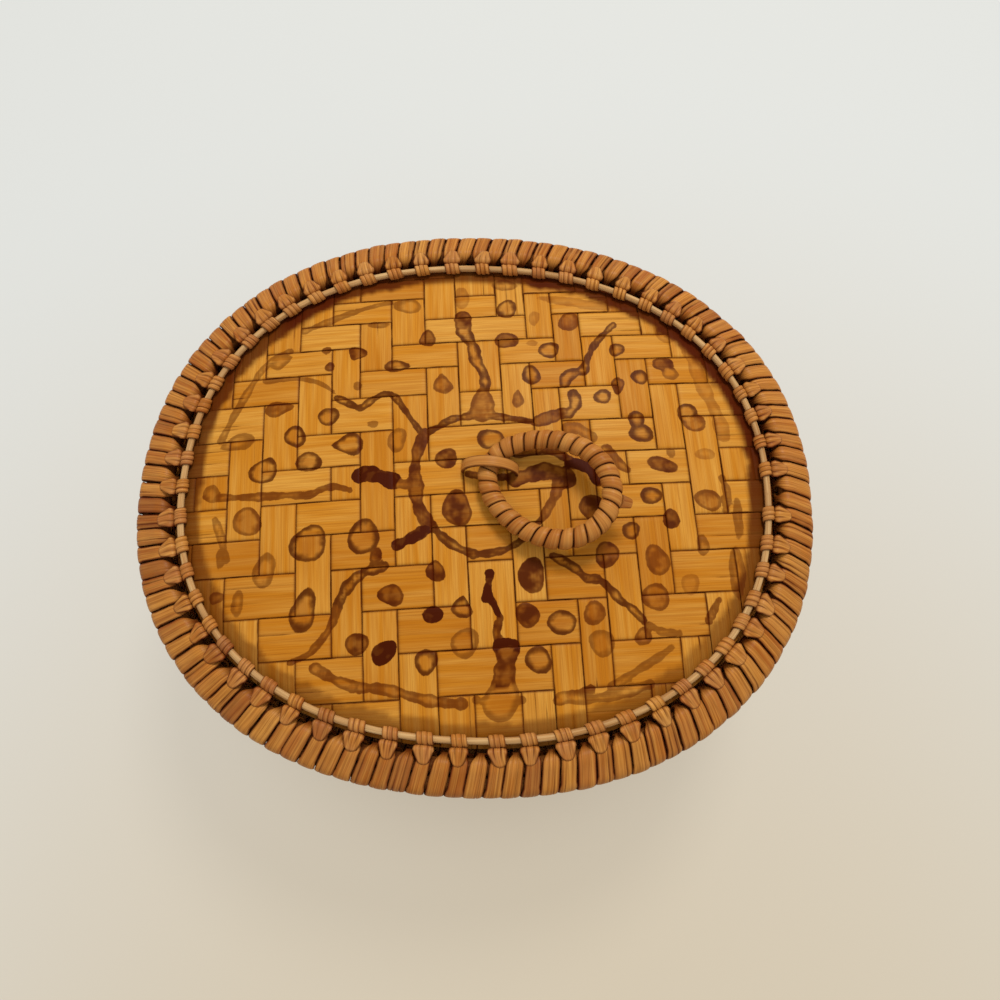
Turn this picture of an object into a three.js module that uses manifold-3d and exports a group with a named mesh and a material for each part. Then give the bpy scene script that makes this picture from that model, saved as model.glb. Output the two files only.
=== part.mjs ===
// An oval lidded basket. The lid is a woven bamboo panel in a rim of cane hoops, bound side by side
// with wide cane, and it has a cane ring handle under a strap. The body is a woven bowl on a foot hoop.
// Millimetres, +Z up, X along the oval, origin under the middle of the base.
import * as THREE from "three";
import { mergeVertices } from "three/addons/utils/BufferGeometryUtils.js";
import Module from "manifold-3d";

// Overall sizes
const LID_LENGTH = 300;
const LID_WIDTH = 260;
const BODY_HEIGHT = 118;

// How full the oval is between its axes: 2 is an ellipse, and more is squarer
const OUTLINE_POWER = 2.2;

// Clearances
const SEAT_GAP = 0.3;
const CUT_OVERRUN = 1;

// Lid rim: two hoops side by side in a bound bundle that slopes down and outwards
const RIM_SLOPE = THREE.MathUtils.degToRad(22);
const HOOP_RADIUS = 3.3;
const HOOP_GAP = 0.6;
const BINDING_REACH = 4.4;
const BINDING_POINT_REACH = 5.3;
const BINDING_THICKNESS = 1;
const BINDING_SPACE = 0.62;
const BINDING_LOOPS = [24, 24, 23, 23, 23];

// Thin rod on the inner side of the rim, held by every second loop of the binding
const ROD_RADIUS = 1.45;
const ROD_OUT_FROM_HOOP = 9.9;
const ROD_ABOVE_HOOP = 5.4;
const TIE_REACH = 2.2;
const TIE_ANGLES = [75, 140, 205].map(THREE.MathUtils.degToRad);

// Lid panel and the collar under it that locates the lid in the body's mouth
const PANEL_THICKNESS = 2.6;
const PANEL_RISE = 6;
const PANEL_SHARES = [1, 0.82, 0.6, 0.34];
const COLLAR_THICKNESS = 2.6;
const COLLAR_DEPTH = 22;

// Handle strap: a flat cane staple through the panel
const STRAP_X = 6.5;
const STRAP_Y = 5;
const STRAP_TURN = THREE.MathUtils.degToRad(-2);
const STRAP_SPAN = 25;
const STRAP_WIDTH = 5.2;
const STRAP_THICKNESS = 1.4;
const STRAP_PLAY = 0.9;
const STRAP_FOOT = 9;

// Ring handle: a bent cane core with flat cane wound round it, drawn in towards the strap
const RING_LENGTH = 54.5;
const RING_WIDTH = 46;
const RING_TIP_SHARE = 0.2;
const RING_TURN = THREE.MathUtils.degToRad(-22);
const RING_TILT = THREE.MathUtils.degToRad(10);
const RING_CANT = THREE.MathUtils.degToRad(7);
const CORE_RADIUS = 2.7;
const WINDING_THICKNESS = 0.9;
const WINDING_SPACE = 1.1;
const WINDING_TAIL = 4.5;
const WINDING_LOOPS = 24;
const WINDING_START_SHARE = 0.475;
const WINDING_START_ANGLE = Math.PI;
const RING_LIFT_GAP = 0.8;

// Body: a woven wall with two mouth hoops under a bound rim
const WALL_THICKNESS = 2.4;
const MOUTH_HOOP_RADIUS = 2.9;
const MOUTH_RIM_INSET = 13.6;
const MOUTH_BINDING_THICKNESS = 1;
const MOUTH_CORNER = 2;
const WALL_LEAN = 10;
const CORNER_HEIGHT = 38;
const CORNER_RUN = 26;
const RIB_DEPTH = 0.7;
const RIB_FADE = 8;

// Foot hoop and the two flat splints that brace the floor
const FOOT_RADIUS = 4;
const FOOT_INSET_FROM_FLOOR = 9;
const BRACE_WIDTH = 16;
const BRACE_THICKNESS = 2;

// Divisions of the round pieces
const HOOP_STEPS = 48;
const HOOP_SIDES = 6;
const ROD_STEPS = 64;
const RING_STEPS = 40;
const RING_SIDES = 6;
const CORNER_STEPS = 4;
const ARCH_STEPS = 10;
const GAP_SAMPLES = 4;

const CANE_COLOUR = 0x9a5a1e;
const ROD_COLOUR = 0xd0a765;
const SPLINT_COLOUR = 0xd08f2a;
const CORE_COLOUR = 0x8a5a28;

// The oval of the lid, over its binding
class OvalOutline extends THREE.Curve {
  constructor(length, width) {
    super();
    this.arcLengthDivisions = 720;
    this.halfLength = length / 2;
    this.halfWidth = width / 2;
  }

  getPoint(t) {
    const angle = 2 * Math.PI * t;
    const along = Math.cos(angle);
    const across = Math.sin(angle);
    const sum = Math.abs(along) ** OUTLINE_POWER + Math.abs(across) ** OUTLINE_POWER;
    const reach = sum ** (-1 / OUTLINE_POWER);
    return new THREE.Vector3(this.halfLength * reach * along, this.halfWidth * reach * across, 0);
  }
}

// The middle line of the ring handle: its tip is at the origin and it lies in the XY plane
class RingLine extends THREE.Curve {
  constructor(length, width) {
    super();
    this.arcLengthDivisions = 360;
    this.halfLength = length / 2;
    this.halfWidth = width / 2;
  }

  getPoint(t) {
    const angle = 2 * Math.PI * t;
    const back = (1 + Math.cos(angle)) / 2;
    const across = Math.sin(angle) * (1 - RING_TIP_SHARE * back);
    return new THREE.Vector3(this.halfLength * (1 - Math.cos(angle)), this.halfWidth * across, 0);
  }
}

const outline = new OvalOutline(LID_LENGTH, LID_WIDTH);
const ringLine = new RingLine(RING_LENGTH, RING_WIDTH);

// Sizes that follow from the ones above
const slopeOut = new THREE.Vector2(Math.cos(RIM_SLOPE), -Math.sin(RIM_SLOPE));
const slopeUp = new THREE.Vector2(Math.sin(RIM_SLOPE), Math.cos(RIM_SLOPE));
const bindingOuter = BINDING_REACH + BINDING_THICKNESS;
const hoopSpan = 2 * HOOP_RADIUS + HOOP_GAP;
const outerHoopInset = bindingOuter;
const outerHoopHeight = BODY_HEIGHT + SEAT_GAP + bindingOuter * slopeUp.y;
const innerHoopInset = outerHoopInset + hoopSpan * slopeOut.x;
const innerHoopHeight = outerHoopHeight - hoopSpan * slopeOut.y;
const rodInset = innerHoopInset + ROD_OUT_FROM_HOOP;
const rodHeight = innerHoopHeight + ROD_ABOVE_HOOP;
const panelInset = rodInset + TIE_REACH + BINDING_THICKNESS + SEAT_GAP;
const panelEdgeTop = rodHeight - ROD_RADIUS - SEAT_GAP;
const flatShare = PANEL_SHARES[PANEL_SHARES.length - 1];
const panelTop = panelEdgeTop + PANEL_RISE * (1 - flatShare ** 2);
const panelUnder = panelTop - PANEL_THICKNESS;
const windingInner = (CORE_RADIUS + SEAT_GAP) / Math.cos(Math.PI / RING_SIDES);
const windingOuter = windingInner + WINDING_THICKNESS;
const hingeHeight = panelTop + windingOuter + RING_LIFT_GAP;
const archInside = hingeHeight - panelTop + windingOuter + STRAP_PLAY;
const mouthHoopOffset = WALL_THICKNESS / 2 + SEAT_GAP + MOUTH_HOOP_RADIUS;
const mouthInnerHalf = mouthHoopOffset + MOUTH_HOOP_RADIUS + SEAT_GAP;
const mouthOuterHalf = mouthInnerHalf + MOUTH_BINDING_THICKNESS;
const mouthDrop = MOUTH_HOOP_RADIUS + SEAT_GAP + MOUTH_BINDING_THICKNESS;
const mouthHeight = BODY_HEIGHT - mouthDrop;
const wallTop = mouthHeight + MOUTH_HOOP_RADIUS;
const footHeight = FOOT_RADIUS * Math.cos(Math.PI / HOOP_SIDES);
const floorUnder = 2 * footHeight + SEAT_GAP;
const floorTop = floorUnder + WALL_THICKNESS;
const wallFootInset = MOUTH_RIM_INSET + WALL_LEAN;
const floorInset = wallFootInset + CORNER_RUN;
const footInset = floorInset + FOOT_INSET_FROM_FLOOR;

// A point that lies a given way inside the oval, at a share of the way round it
function onOval(turn, inset, height) {
  const share = THREE.MathUtils.euclideanModulo(turn, 1);
  const point = outline.getPointAt(share);
  const along = outline.getTangentAt(share);
  return new THREE.Vector3(point.x - along.y * inset, point.y + along.x * inset, height);
}

// Turns the faces of a closed skin outwards
function facingOut(points, index) {
  let volume = 0;
  for (let i = 0; i < index.length; i += 3) {
    const [a, b, c] = [points[index[i]], points[index[i + 1]], points[index[i + 2]]];
    volume += a.dot(new THREE.Vector3().crossVectors(b, c));
  }
  return volume < 0 ? [...index].reverse() : index;
}

// Joins rings of points into one closed skin: round and back again, or with a fan on each end
function skin(rings, closed) {
  const sides = rings[0].length;
  const points = rings.flat();
  const index = [];
  const joins = closed ? rings.length : rings.length - 1;
  for (let i = 0; i < joins; i++) {
    const here = i * sides;
    const next = ((i + 1) % rings.length) * sides;
    for (let j = 0; j < sides; j++) {
      const k = (j + 1) % sides;
      index.push(here + j, next + j, next + k);
      index.push(here + j, next + k, here + k);
    }
  }
  if (!closed) {
    const ends = [0, (rings.length - 1) * sides];
    ends.forEach((start, end) => {
      const middle = points.length;
      const ring = points.slice(start, start + sides);
      points.push(ring.reduce((sum, p) => sum.add(p), new THREE.Vector3()).divideScalar(sides));
      for (let j = 0; j < sides; j++) {
        const k = (j + 1) % sides;
        index.push(middle, start + (end ? k : j), start + (end ? j : k));
      }
    });
  }
  const geometry = new THREE.BufferGeometry().setFromPoints(points);
  geometry.setIndex(facingOut(points, index));
  geometry.computeVertexNormals();
  return geometry;
}

// A band of one section all round the oval; the section is a list of [inset, height] corners
function ovalBand(section, steps) {
  const rings = [];
  for (let i = 0; i < steps; i++) {
    rings.push(section.map(([inset, height]) => onOval(i / steps, inset, height)));
  }
  return skin(rings, true);
}

// A cane hoop with a flat face up and a flat face down, and its corners on the cane's circle
function hoop(inset, height, radius, steps = HOOP_STEPS) {
  const section = [];
  for (let i = 0; i < HOOP_SIDES; i++) {
    const angle = (2 * Math.PI * i) / HOOP_SIDES;
    section.push([inset + radius * Math.cos(angle), height + radius * Math.sin(angle)]);
  }
  return ovalBand(section, steps);
}

// A point of the binding's route round the rim bundle, measured from the outer hoop
function routePoint(centre, angle, reach) {
  const out = slopeOut.clone().multiplyScalar(Math.cos(angle));
  const normal = out.addScaledVector(slopeUp, Math.sin(angle));
  return { place: centre.clone().addScaledVector(normal, reach), normal };
}

// One loop of the rim binding as seen from its end: a plain loop, or one that goes over the rod
function bindingRoute(overRod) {
  const outer = new THREE.Vector2();
  const inner = slopeOut.clone().multiplyScalar(-hoopSpan);
  const quarter = Math.PI / 2;
  const route = [
    routePoint(inner, -quarter, BINDING_REACH),
    routePoint(outer, -quarter, BINDING_REACH),
    routePoint(outer, -quarter / 3, BINDING_REACH),
    routePoint(outer, quarter / 3, BINDING_REACH),
    routePoint(outer, quarter, BINDING_REACH),
    routePoint(inner, quarter, BINDING_REACH),
  ];
  if (overRod) {
    const rod = inner.clone().add(new THREE.Vector2(-ROD_OUT_FROM_HOOP, ROD_ABOVE_HOOP));
    route.push(...TIE_ANGLES.map((angle) => routePoint(rod, angle + RIM_SLOPE, TIE_REACH)));
  } else {
    route.push(routePoint(inner, 2 * quarter, BINDING_POINT_REACH));
  }
  return route;
}

// How far round its loop each point of a route is, as shares of the loop
function routeShares(route, common, commonShare) {
  const lengths = [0];
  for (let i = 1; i <= route.length; i++) {
    const step = route[i % route.length].place.distanceTo(route[i - 1].place);
    lengths.push(lengths[i - 1] + step);
  }
  const whole = lengths[route.length];
  if (commonShare === undefined) {
    return lengths.slice(0, route.length).map((length) => length / whole);
  }
  const start = lengths[common];
  return lengths.slice(0, route.length).map((length, i) => {
    if (i <= common) return (length / start) * commonShare;
    return commonShare + ((length - start) / (whole - start)) * (1 - commonShare);
  });
}

// The least way between the corners of neighbouring loops, sampled along the strip's edges
function leastGap(rings, loops) {
  const samples = [];
  for (let i = 0; i + 1 < rings.length; i++) {
    for (let part = 0; part < GAP_SAMPLES; part++) {
      const share = part / GAP_SAMPLES;
      const points = rings[i].map((point, j) => point.clone().lerp(rings[i + 1][j], share));
      samples.push({ loop: loops[i], points });
    }
  }
  let least = Infinity;
  for (const one of samples) {
    for (const other of samples) {
      if (other.loop !== one.loop + 1) continue;
      for (const a of one.points) {
        for (const b of other.points) least = Math.min(least, a.distanceTo(b));
      }
    }
  }
  return least;
}

const bindingLoopCount = BINDING_LOOPS.reduce((sum, loops) => sum + loops, 0);
const innerPitch = (outline.getLength() - 2 * Math.PI * rodInset) / bindingLoopCount;
const bindingHalfShare = (1 - BINDING_SPACE / innerPitch) / 2;
const plainRoute = bindingRoute(false);
const tieRoute = bindingRoute(true);
const plainShares = routeShares(plainRoute);
const lastCommon = plainRoute.length - 2;
const tieShares = routeShares(tieRoute, lastCommon, plainShares[lastCommon]);

// One length of flat cane wound round the rim, from loop number first on
function bindingLength(name, first, count) {
  const rings = [];
  const loops = [];
  for (let loop = first; loop < first + count; loop++) {
    const overRod = loop % 2 === 1;
    const route = overRod ? tieRoute : plainRoute;
    const shares = overRod ? tieShares : plainShares;
    route.forEach(({ place, normal }, i) => {
      const middle = (loop + shares[i]) / bindingLoopCount;
      const half = bindingHalfShare / bindingLoopCount;
      const top = place.clone().addScaledVector(normal, BINDING_THICKNESS);
      const corners = [
        [middle - half, place],
        [middle + half, place],
        [middle + half, top],
        [middle - half, top],
      ];
      rings.push(
        corners.map(([turn, at]) =>
          onOval(turn, outerHoopInset - at.x, outerHoopHeight + at.y),
        ),
      );
      loops.push(loop);
    });
  }
  console.log(name + " least gap to itself " + leastGap(rings, loops).toFixed(2) + " mm");
  return skin(rings, false);
}

// A shape in the XZ plane, drawn out along Y and centred on it
function across(points, width) {
  const shape = new THREE.Shape(points);
  const geometry = new THREE.ExtrudeGeometry(shape, { depth: width, bevelEnabled: false });
  geometry.translate(0, 0, -width / 2);
  return geometry.rotateX(Math.PI / 2);
}

const wasm = await Module();
wasm.setup();

function toSolid(geometry) {
  const plain = geometry.clone();
  plain.deleteAttribute("normal");
  plain.deleteAttribute("uv");
  const merged = mergeVertices(plain);
  const vertProperties = merged.attributes.position.array;
  const triVerts = new Uint32Array(merged.index.array);
  return new wasm.Manifold(new wasm.Mesh({ numProp: 3, vertProperties, triVerts }));
}

function toGeometry(solid) {
  const mesh = solid.getMesh();
  const geometry = new THREE.BufferGeometry();
  const array = new Float32Array(mesh.vertProperties);
  geometry.setAttribute("position", new THREE.BufferAttribute(array, mesh.numProp));
  geometry.setIndex(new THREE.BufferAttribute(new Uint32Array(mesh.triVerts), 1));
  geometry.computeVertexNormals();
  return geometry;
}

function addMesh(group, name, geometry, color, roughness = 0.6) {
  const material = new THREE.MeshStandardMaterial({ color, roughness, metalness: 0 });
  const mesh = new THREE.Mesh(geometry, material);
  mesh.name = name;
  group.add(mesh);
  return mesh;
}

// The strap's side view: an arch, two legs through the panel and two feet turned out under it
function strapPoints() {
  const half = STRAP_SPAN / 2;
  const inner = half - STRAP_THICKNESS;
  const rise = archInside + STRAP_THICKNESS;
  const footTop = -PANEL_THICKNESS - SEAT_GAP;
  const footUnder = footTop - STRAP_THICKNESS;
  const outer = [];
  const inside = [];
  for (let i = 0; i <= ARCH_STEPS; i++) {
    const angle = (Math.PI * i) / ARCH_STEPS;
    outer.push(new THREE.Vector2(half * Math.cos(angle), rise * Math.sin(angle)));
    inside.unshift(new THREE.Vector2(inner * Math.cos(angle), archInside * Math.sin(angle)));
  }
  return [
    new THREE.Vector2(inner, footUnder),
    new THREE.Vector2(half + STRAP_FOOT, footUnder),
    new THREE.Vector2(half + STRAP_FOOT, footTop),
    new THREE.Vector2(half, footTop),
    ...outer,
    new THREE.Vector2(-half, footTop),
    new THREE.Vector2(-half - STRAP_FOOT, footTop),
    new THREE.Vector2(-half - STRAP_FOOT, footUnder),
    new THREE.Vector2(-inner, footUnder),
    ...inside,
  ];
}

// A turned place at the middle of the strap, for the strap itself and for the handle under it
function atStrap(group, height, turn) {
  const place = new THREE.Group();
  place.position.set(STRAP_X, STRAP_Y, height);
  place.rotation.z = turn;
  group.add(place);
  return place;
}

// The domed panel, its flat middle pierced by a slot for each strap leg
function panel() {
  const top = PANEL_SHARES.map((share) => [share, panelEdgeTop + PANEL_RISE * (1 - share ** 2)]);
  const under = top.map(([share, height]) => [share, height - PANEL_THICKNESS]).reverse();
  const rings = [...under, ...top].map(([share, height]) => {
    const ring = [];
    for (let i = 0; i < HOOP_STEPS; i++) {
      const point = onOval(i / HOOP_STEPS, panelInset, 0).multiplyScalar(share);
      ring.push(point.setZ(height));
    }
    return ring;
  });
  let solid = toSolid(skin(rings, false));
  const place = new THREE.Matrix4().makeRotationZ(STRAP_TURN).setPosition(STRAP_X, STRAP_Y, 0);
  for (const side of [-1, 1]) {
    const slot = new THREE.BoxGeometry(
      STRAP_THICKNESS + 2 * SEAT_GAP,
      STRAP_WIDTH + 2 * SEAT_GAP,
      PANEL_THICKNESS + 2 * CUT_OVERRUN,
    );
    const out = side * (STRAP_SPAN - STRAP_THICKNESS) / 2;
    slot.translate(out, 0, (panelTop + panelUnder) / 2);
    solid = solid.subtract(toSolid(slot.applyMatrix4(place)));
  }
  return toGeometry(solid);
}

// The handle's frame at a share of the way round it: its middle, its way out and its way up
function ringFrame(turn) {
  const share = THREE.MathUtils.euclideanModulo(turn, 1);
  const along = ringLine.getTangentAt(share);
  return {
    middle: ringLine.getPointAt(share),
    out: new THREE.Vector3(along.y, -along.x, 0),
    up: new THREE.Vector3(0, 0, 1),
  };
}

function ringCore() {
  const rings = [];
  for (let i = 0; i < RING_STEPS; i++) {
    const { middle, out, up } = ringFrame(i / RING_STEPS);
    const ring = [];
    for (let j = 0; j < RING_SIDES; j++) {
      const angle = (2 * Math.PI * j) / RING_SIDES;
      const point = middle.clone().addScaledVector(out, CORE_RADIUS * Math.cos(angle));
      ring.push(point.addScaledVector(up, CORE_RADIUS * Math.sin(angle)));
    }
    rings.push(ring);
  }
  return skin(rings, true);
}

// Flat cane wound round the core: its first end is loose and stands out of the ring's outer side
function ringWinding() {
  const pitch = ringLine.getLength() / WINDING_LOOPS;
  const halfShare = ((1 - WINDING_SPACE / pitch) / 2) / WINDING_LOOPS;
  const rings = [];
  const loops = [];
  const steps = WINDING_LOOPS * RING_SIDES - 1;
  const addRing = (turn, angle, lift, lean) => {
    const ends = [turn - halfShare, turn + halfShare].map((share) => {
      const { middle, out, up } = ringFrame(share);
      const away = out.clone().multiplyScalar(Math.cos(angle));
      away.addScaledVector(up, Math.sin(angle));
      const onward = out.clone().multiplyScalar(-Math.sin(angle));
      onward.addScaledVector(up, Math.cos(angle));
      const low = middle.clone().addScaledVector(away, windingInner + lift);
      const thick = away.multiplyScalar(1 - lean).addScaledVector(onward, -lean);
      return [low, low.clone().addScaledVector(thick, WINDING_THICKNESS)];
    });
    rings.push([ends[0][0], ends[1][0], ends[1][1], ends[0][1]]);
  };
  addRing(WINDING_START_SHARE, WINDING_START_ANGLE, WINDING_TAIL, 1);
  loops.push(0);
  for (let i = 0; i <= steps; i++) {
    const share = WINDING_START_SHARE + i / (WINDING_LOOPS * RING_SIDES);
    const angle = WINDING_START_ANGLE + (2 * Math.PI * i) / RING_SIDES;
    addRing(share, angle, 0, i === 0 ? 1 / 2 : 0);
    loops.push(Math.floor(i / RING_SIDES));
  }
  console.log("handle_winding least gap to itself " + leastGap(rings, loops).toFixed(2) + " mm");
  return skin(rings, false);
}

// The body's binding: a bound sleeve over both mouth hoops, open below where the wall goes in
function mouthBinding() {
  const slit = WALL_THICKNESS / 2 + SEAT_GAP;
  const floor = -mouthDrop;
  const inside = MOUTH_BINDING_THICKNESS;
  const half = [
    [slit, floor],
    [mouthOuterHalf - MOUTH_CORNER, floor],
    [mouthOuterHalf, floor + MOUTH_CORNER],
    [mouthOuterHalf, mouthDrop - MOUTH_CORNER],
    [mouthOuterHalf - MOUTH_CORNER, mouthDrop],
  ];
  const section = [
    ...half,
    ...half.map(([out, up]) => [-out, up]).reverse(),
    [-slit, floor + inside],
    [-mouthInnerHalf, floor + inside],
    [-mouthInnerHalf, mouthDrop - inside],
    [mouthInnerHalf, mouthDrop - inside],
    [mouthInnerHalf, floor + inside],
    [slit, floor + inside],
  ];
  const placed = section.map(([out, up]) => [MOUTH_RIM_INSET + out, mouthHeight + up]);
  return ovalBand(placed, HOOP_STEPS);
}

// The woven bowl: outside from the floor up, over the mouth, and down the inside. Every second stake
// of its weave stands out as a rib, which fades out at the mouth and towards the floor.
function bodyShell() {
  const upright = BODY_HEIGHT - 2 * mouthDrop - SEAT_GAP;
  const side = (inset, low) => {
    const start = new THREE.Vector2(inset + wallFootInset, CORNER_HEIGHT);
    const corner = new THREE.Vector2(inset + wallFootInset + WALL_LEAN / 2, low);
    const end = new THREE.Vector2(inset + floorInset, low);
    const curve = new THREE.QuadraticBezierCurve(start, corner, end);
    const mouth = new THREE.Vector2(inset + MOUTH_RIM_INSET, upright);
    const ribEnd = mouth.clone().lerp(start, RIB_FADE / (upright - CORNER_HEIGHT));
    const points = curve.getPoints(CORNER_STEPS).reverse();
    points.push(ribEnd, mouth, mouth.clone().setY(wallTop));
    return points.map((at) => {
      const fade = Math.min((at.y - low) / (CORNER_HEIGHT - low), (upright - at.y) / RIB_FADE);
      return { at, rib: THREE.MathUtils.clamp(fade, 0, 1) };
    });
  };
  const half = WALL_THICKNESS / 2;
  const profile = [...side(-half, floorUnder), ...side(half, floorTop).reverse()];
  return skin(profile.map(({ at, rib }) => ribbedRing(at, rib)), false);
}

// A ring of points on the oval, with a point between each two that a rib moves outwards
function ribbedRing(at, rib) {
  const ring = [];
  for (let i = 0; i < HOOP_STEPS; i++) {
    const here = onOval(i / HOOP_STEPS, at.x, at.y);
    const next = onOval((i + 1) / HOOP_STEPS, at.x, at.y);
    const top = onOval((i + 1 / 2) / HOOP_STEPS, at.x - RIB_DEPTH, at.y);
    ring.push(here, next.add(here).divideScalar(2).lerp(top, rib));
  }
  return ring;
}

const basket = new THREE.Group();

const body = new THREE.Group();
basket.add(body);
addMesh(body, "body_shell", bodyShell(), SPLINT_COLOUR);
const mouthHoops = { body_hoop_inner: 1, body_hoop_outer: -1 };
for (const [name, side] of Object.entries(mouthHoops)) {
  const inset = MOUTH_RIM_INSET + side * mouthHoopOffset;
  addMesh(body, name, hoop(inset, mouthHeight, MOUTH_HOOP_RADIUS), CORE_COLOUR);
}
addMesh(body, "body_binding", mouthBinding(), CANE_COLOUR);
addMesh(body, "foot_hoop", hoop(footInset, footHeight, FOOT_RADIUS), CANE_COLOUR);
const braceReach = footInset + FOOT_RADIUS + SEAT_GAP;
const braceEnds = { x: LID_LENGTH / 2 - braceReach, y: LID_WIDTH / 2 - braceReach };
const upperBrace = floorUnder - SEAT_GAP - BRACE_THICKNESS / 2;
const braceAlongX = new THREE.BoxGeometry(2 * braceEnds.x - BRACE_WIDTH, BRACE_WIDTH, BRACE_THICKNESS);
addMesh(body, "floor_brace_long", braceAlongX, SPLINT_COLOUR).position.z = upperBrace;
const braceAlongY = new THREE.BoxGeometry(BRACE_WIDTH, 2 * braceEnds.y - BRACE_WIDTH, BRACE_THICKNESS);
const lowerBrace = upperBrace - BRACE_THICKNESS - SEAT_GAP;
addMesh(body, "floor_brace_short", braceAlongY, SPLINT_COLOUR).position.z = lowerBrace;

const lid = new THREE.Group();
basket.add(lid);
addMesh(lid, "lid_panel", panel(), SPLINT_COLOUR, 0.45);
addMesh(lid, "lid_hoop_outer", hoop(outerHoopInset, outerHoopHeight, HOOP_RADIUS), CORE_COLOUR);
addMesh(lid, "lid_hoop_inner", hoop(innerHoopInset, innerHoopHeight, HOOP_RADIUS), CORE_COLOUR);
addMesh(lid, "lid_rod", hoop(rodInset, rodHeight, ROD_RADIUS, ROD_STEPS), ROD_COLOUR);
let firstLoop = 0;
BINDING_LOOPS.forEach((count, i) => {
  const name = "lid_binding_" + (i + 1);
  addMesh(lid, name, bindingLength(name, firstLoop, count), CANE_COLOUR);
  firstLoop += count;
});
const collarTop = panelEdgeTop - PANEL_THICKNESS - SEAT_GAP;
const collarOut = panelInset + SEAT_GAP;
const collarSection = [
  [collarOut, collarTop],
  [collarOut + COLLAR_THICKNESS, collarTop],
  [collarOut + COLLAR_THICKNESS, collarTop - COLLAR_DEPTH],
  [collarOut, collarTop - COLLAR_DEPTH],
];
addMesh(lid, "lid_collar", ovalBand(collarSection, HOOP_STEPS), SPLINT_COLOUR);
const strap = atStrap(lid, panelTop, STRAP_TURN);
addMesh(strap, "handle_strap", across(strapPoints(), STRAP_WIDTH), CANE_COLOUR);

const handle = atStrap(lid, hingeHeight, RING_TURN);
const ring = new THREE.Group();
ring.rotation.set(RING_CANT, -RING_TILT, 0, "YXZ");
handle.add(ring);
addMesh(ring, "handle_core", ringCore(), CORE_COLOUR);
addMesh(ring, "handle_winding", ringWinding(), CANE_COLOUR);

export default basket;
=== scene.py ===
"""Looks of an oval lidded basket.

The lid is a woven bamboo panel with scorched marks, in a rim of cane hoops bound side by side with
wide cane that is tied over a thin rod. A wound ring handle lies under a strap on the lid. The body
is a woven bowl with a bound mouth, on a foot hoop. Lengths are millimetres until a mesh is made.
"""

import logging
import math
from collections.abc import Callable, Iterable
from dataclasses import dataclass, field
from enum import Enum

import bpy
import numpy as np
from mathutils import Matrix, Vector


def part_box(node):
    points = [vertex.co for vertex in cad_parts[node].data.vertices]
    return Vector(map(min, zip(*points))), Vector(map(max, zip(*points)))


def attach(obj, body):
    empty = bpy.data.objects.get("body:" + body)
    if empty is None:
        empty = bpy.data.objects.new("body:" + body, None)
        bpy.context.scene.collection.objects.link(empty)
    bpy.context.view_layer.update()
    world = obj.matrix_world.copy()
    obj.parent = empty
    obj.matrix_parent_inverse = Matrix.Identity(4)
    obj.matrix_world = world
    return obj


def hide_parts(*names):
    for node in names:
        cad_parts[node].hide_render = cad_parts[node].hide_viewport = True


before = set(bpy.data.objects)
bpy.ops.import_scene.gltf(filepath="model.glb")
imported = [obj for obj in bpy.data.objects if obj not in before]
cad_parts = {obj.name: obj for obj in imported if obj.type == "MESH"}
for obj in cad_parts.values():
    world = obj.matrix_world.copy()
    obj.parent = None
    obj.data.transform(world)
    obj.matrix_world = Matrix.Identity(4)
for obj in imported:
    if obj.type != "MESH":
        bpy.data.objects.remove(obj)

Array = np.ndarray
Rgb = tuple[float, float, float]
Socket = bpy.types.NodeSocket
Sockets = dict[str, bpy.types.NodeSocket]

MM = 0.001
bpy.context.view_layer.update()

# Where the random draws of each kind of piece start
FLAT_WEAVE_SEED = 20
LID_BINDING_SEED = 30
STAKE_SEED = 60
WEAVER_SEED = 61
MOUTH_SEED = 80
FOOT_SEED = 90
RING_SEED = 100

# The waves of a hum, each by its rate and its size, and their size together
HUM_WAVES = ((0.9, 1.0), (2.13, 0.6), (4.7, 0.35))
HUM_HEIGHT = 1.95

# Twice the area of the smallest face that a skin keeps, in square millimetres
SMALLEST_FACE = 0.002

log = logging.getLogger("basket")


class Body(Enum):
    """The bodies of the basket that move apart."""

    BODY = "body"
    LID = "lid"
    HANDLE = "handle"


class Lay(Enum):
    """Which way a splint of a flat weave runs."""

    WARP = 0
    WEFT = 1


def linear(colour: str) -> Rgb:
    """The linear values of a colour written as six hexadecimal digits."""
    parts = [int(colour[i:i + 2], 16) / 255 for i in (0, 2, 4)]
    return tuple(c / 12.92 if c <= 0.04045 else ((c + 0.055) / 1.055) ** 2.4 for c in parts)


def smooth(value: Array) -> Array:
    """A smooth step that rises from 0 to 1 as the value does."""
    part = np.clip(value, 0.0, 1.0)
    return part * part * (3.0 - 2.0 * part)


def hum(value: Array, seed: float) -> Array:
    """A slow, seeded wave between about -1 and 1, with no step in it."""
    total = sum(size * np.sin(value * rate + seed * (7.3 + 3.1 * rate)) for rate, size in HUM_WAVES)
    return total / HUM_HEIGHT


def gone_along(line: Array) -> Array:
    """How far along a line of points each of them is."""
    return np.concatenate([[0.0], np.cumsum(np.linalg.norm(np.diff(line, axis=0), axis=1))])


def headings(line: Array) -> Array:
    """Which way a line of points runs at each of them, as a direction of length 1."""
    ahead = np.gradient(line, axis=0)
    return ahead / np.linalg.norm(ahead, axis=1, keepdims=True)


def pair_at(place: Array, gone: Array, table: Array) -> tuple[Array, Array]:
    """The first two columns of a table, read between its rows at a place."""
    return np.interp(place, gone, table[:, 0]), np.interp(place, gone, table[:, 1])


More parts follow.
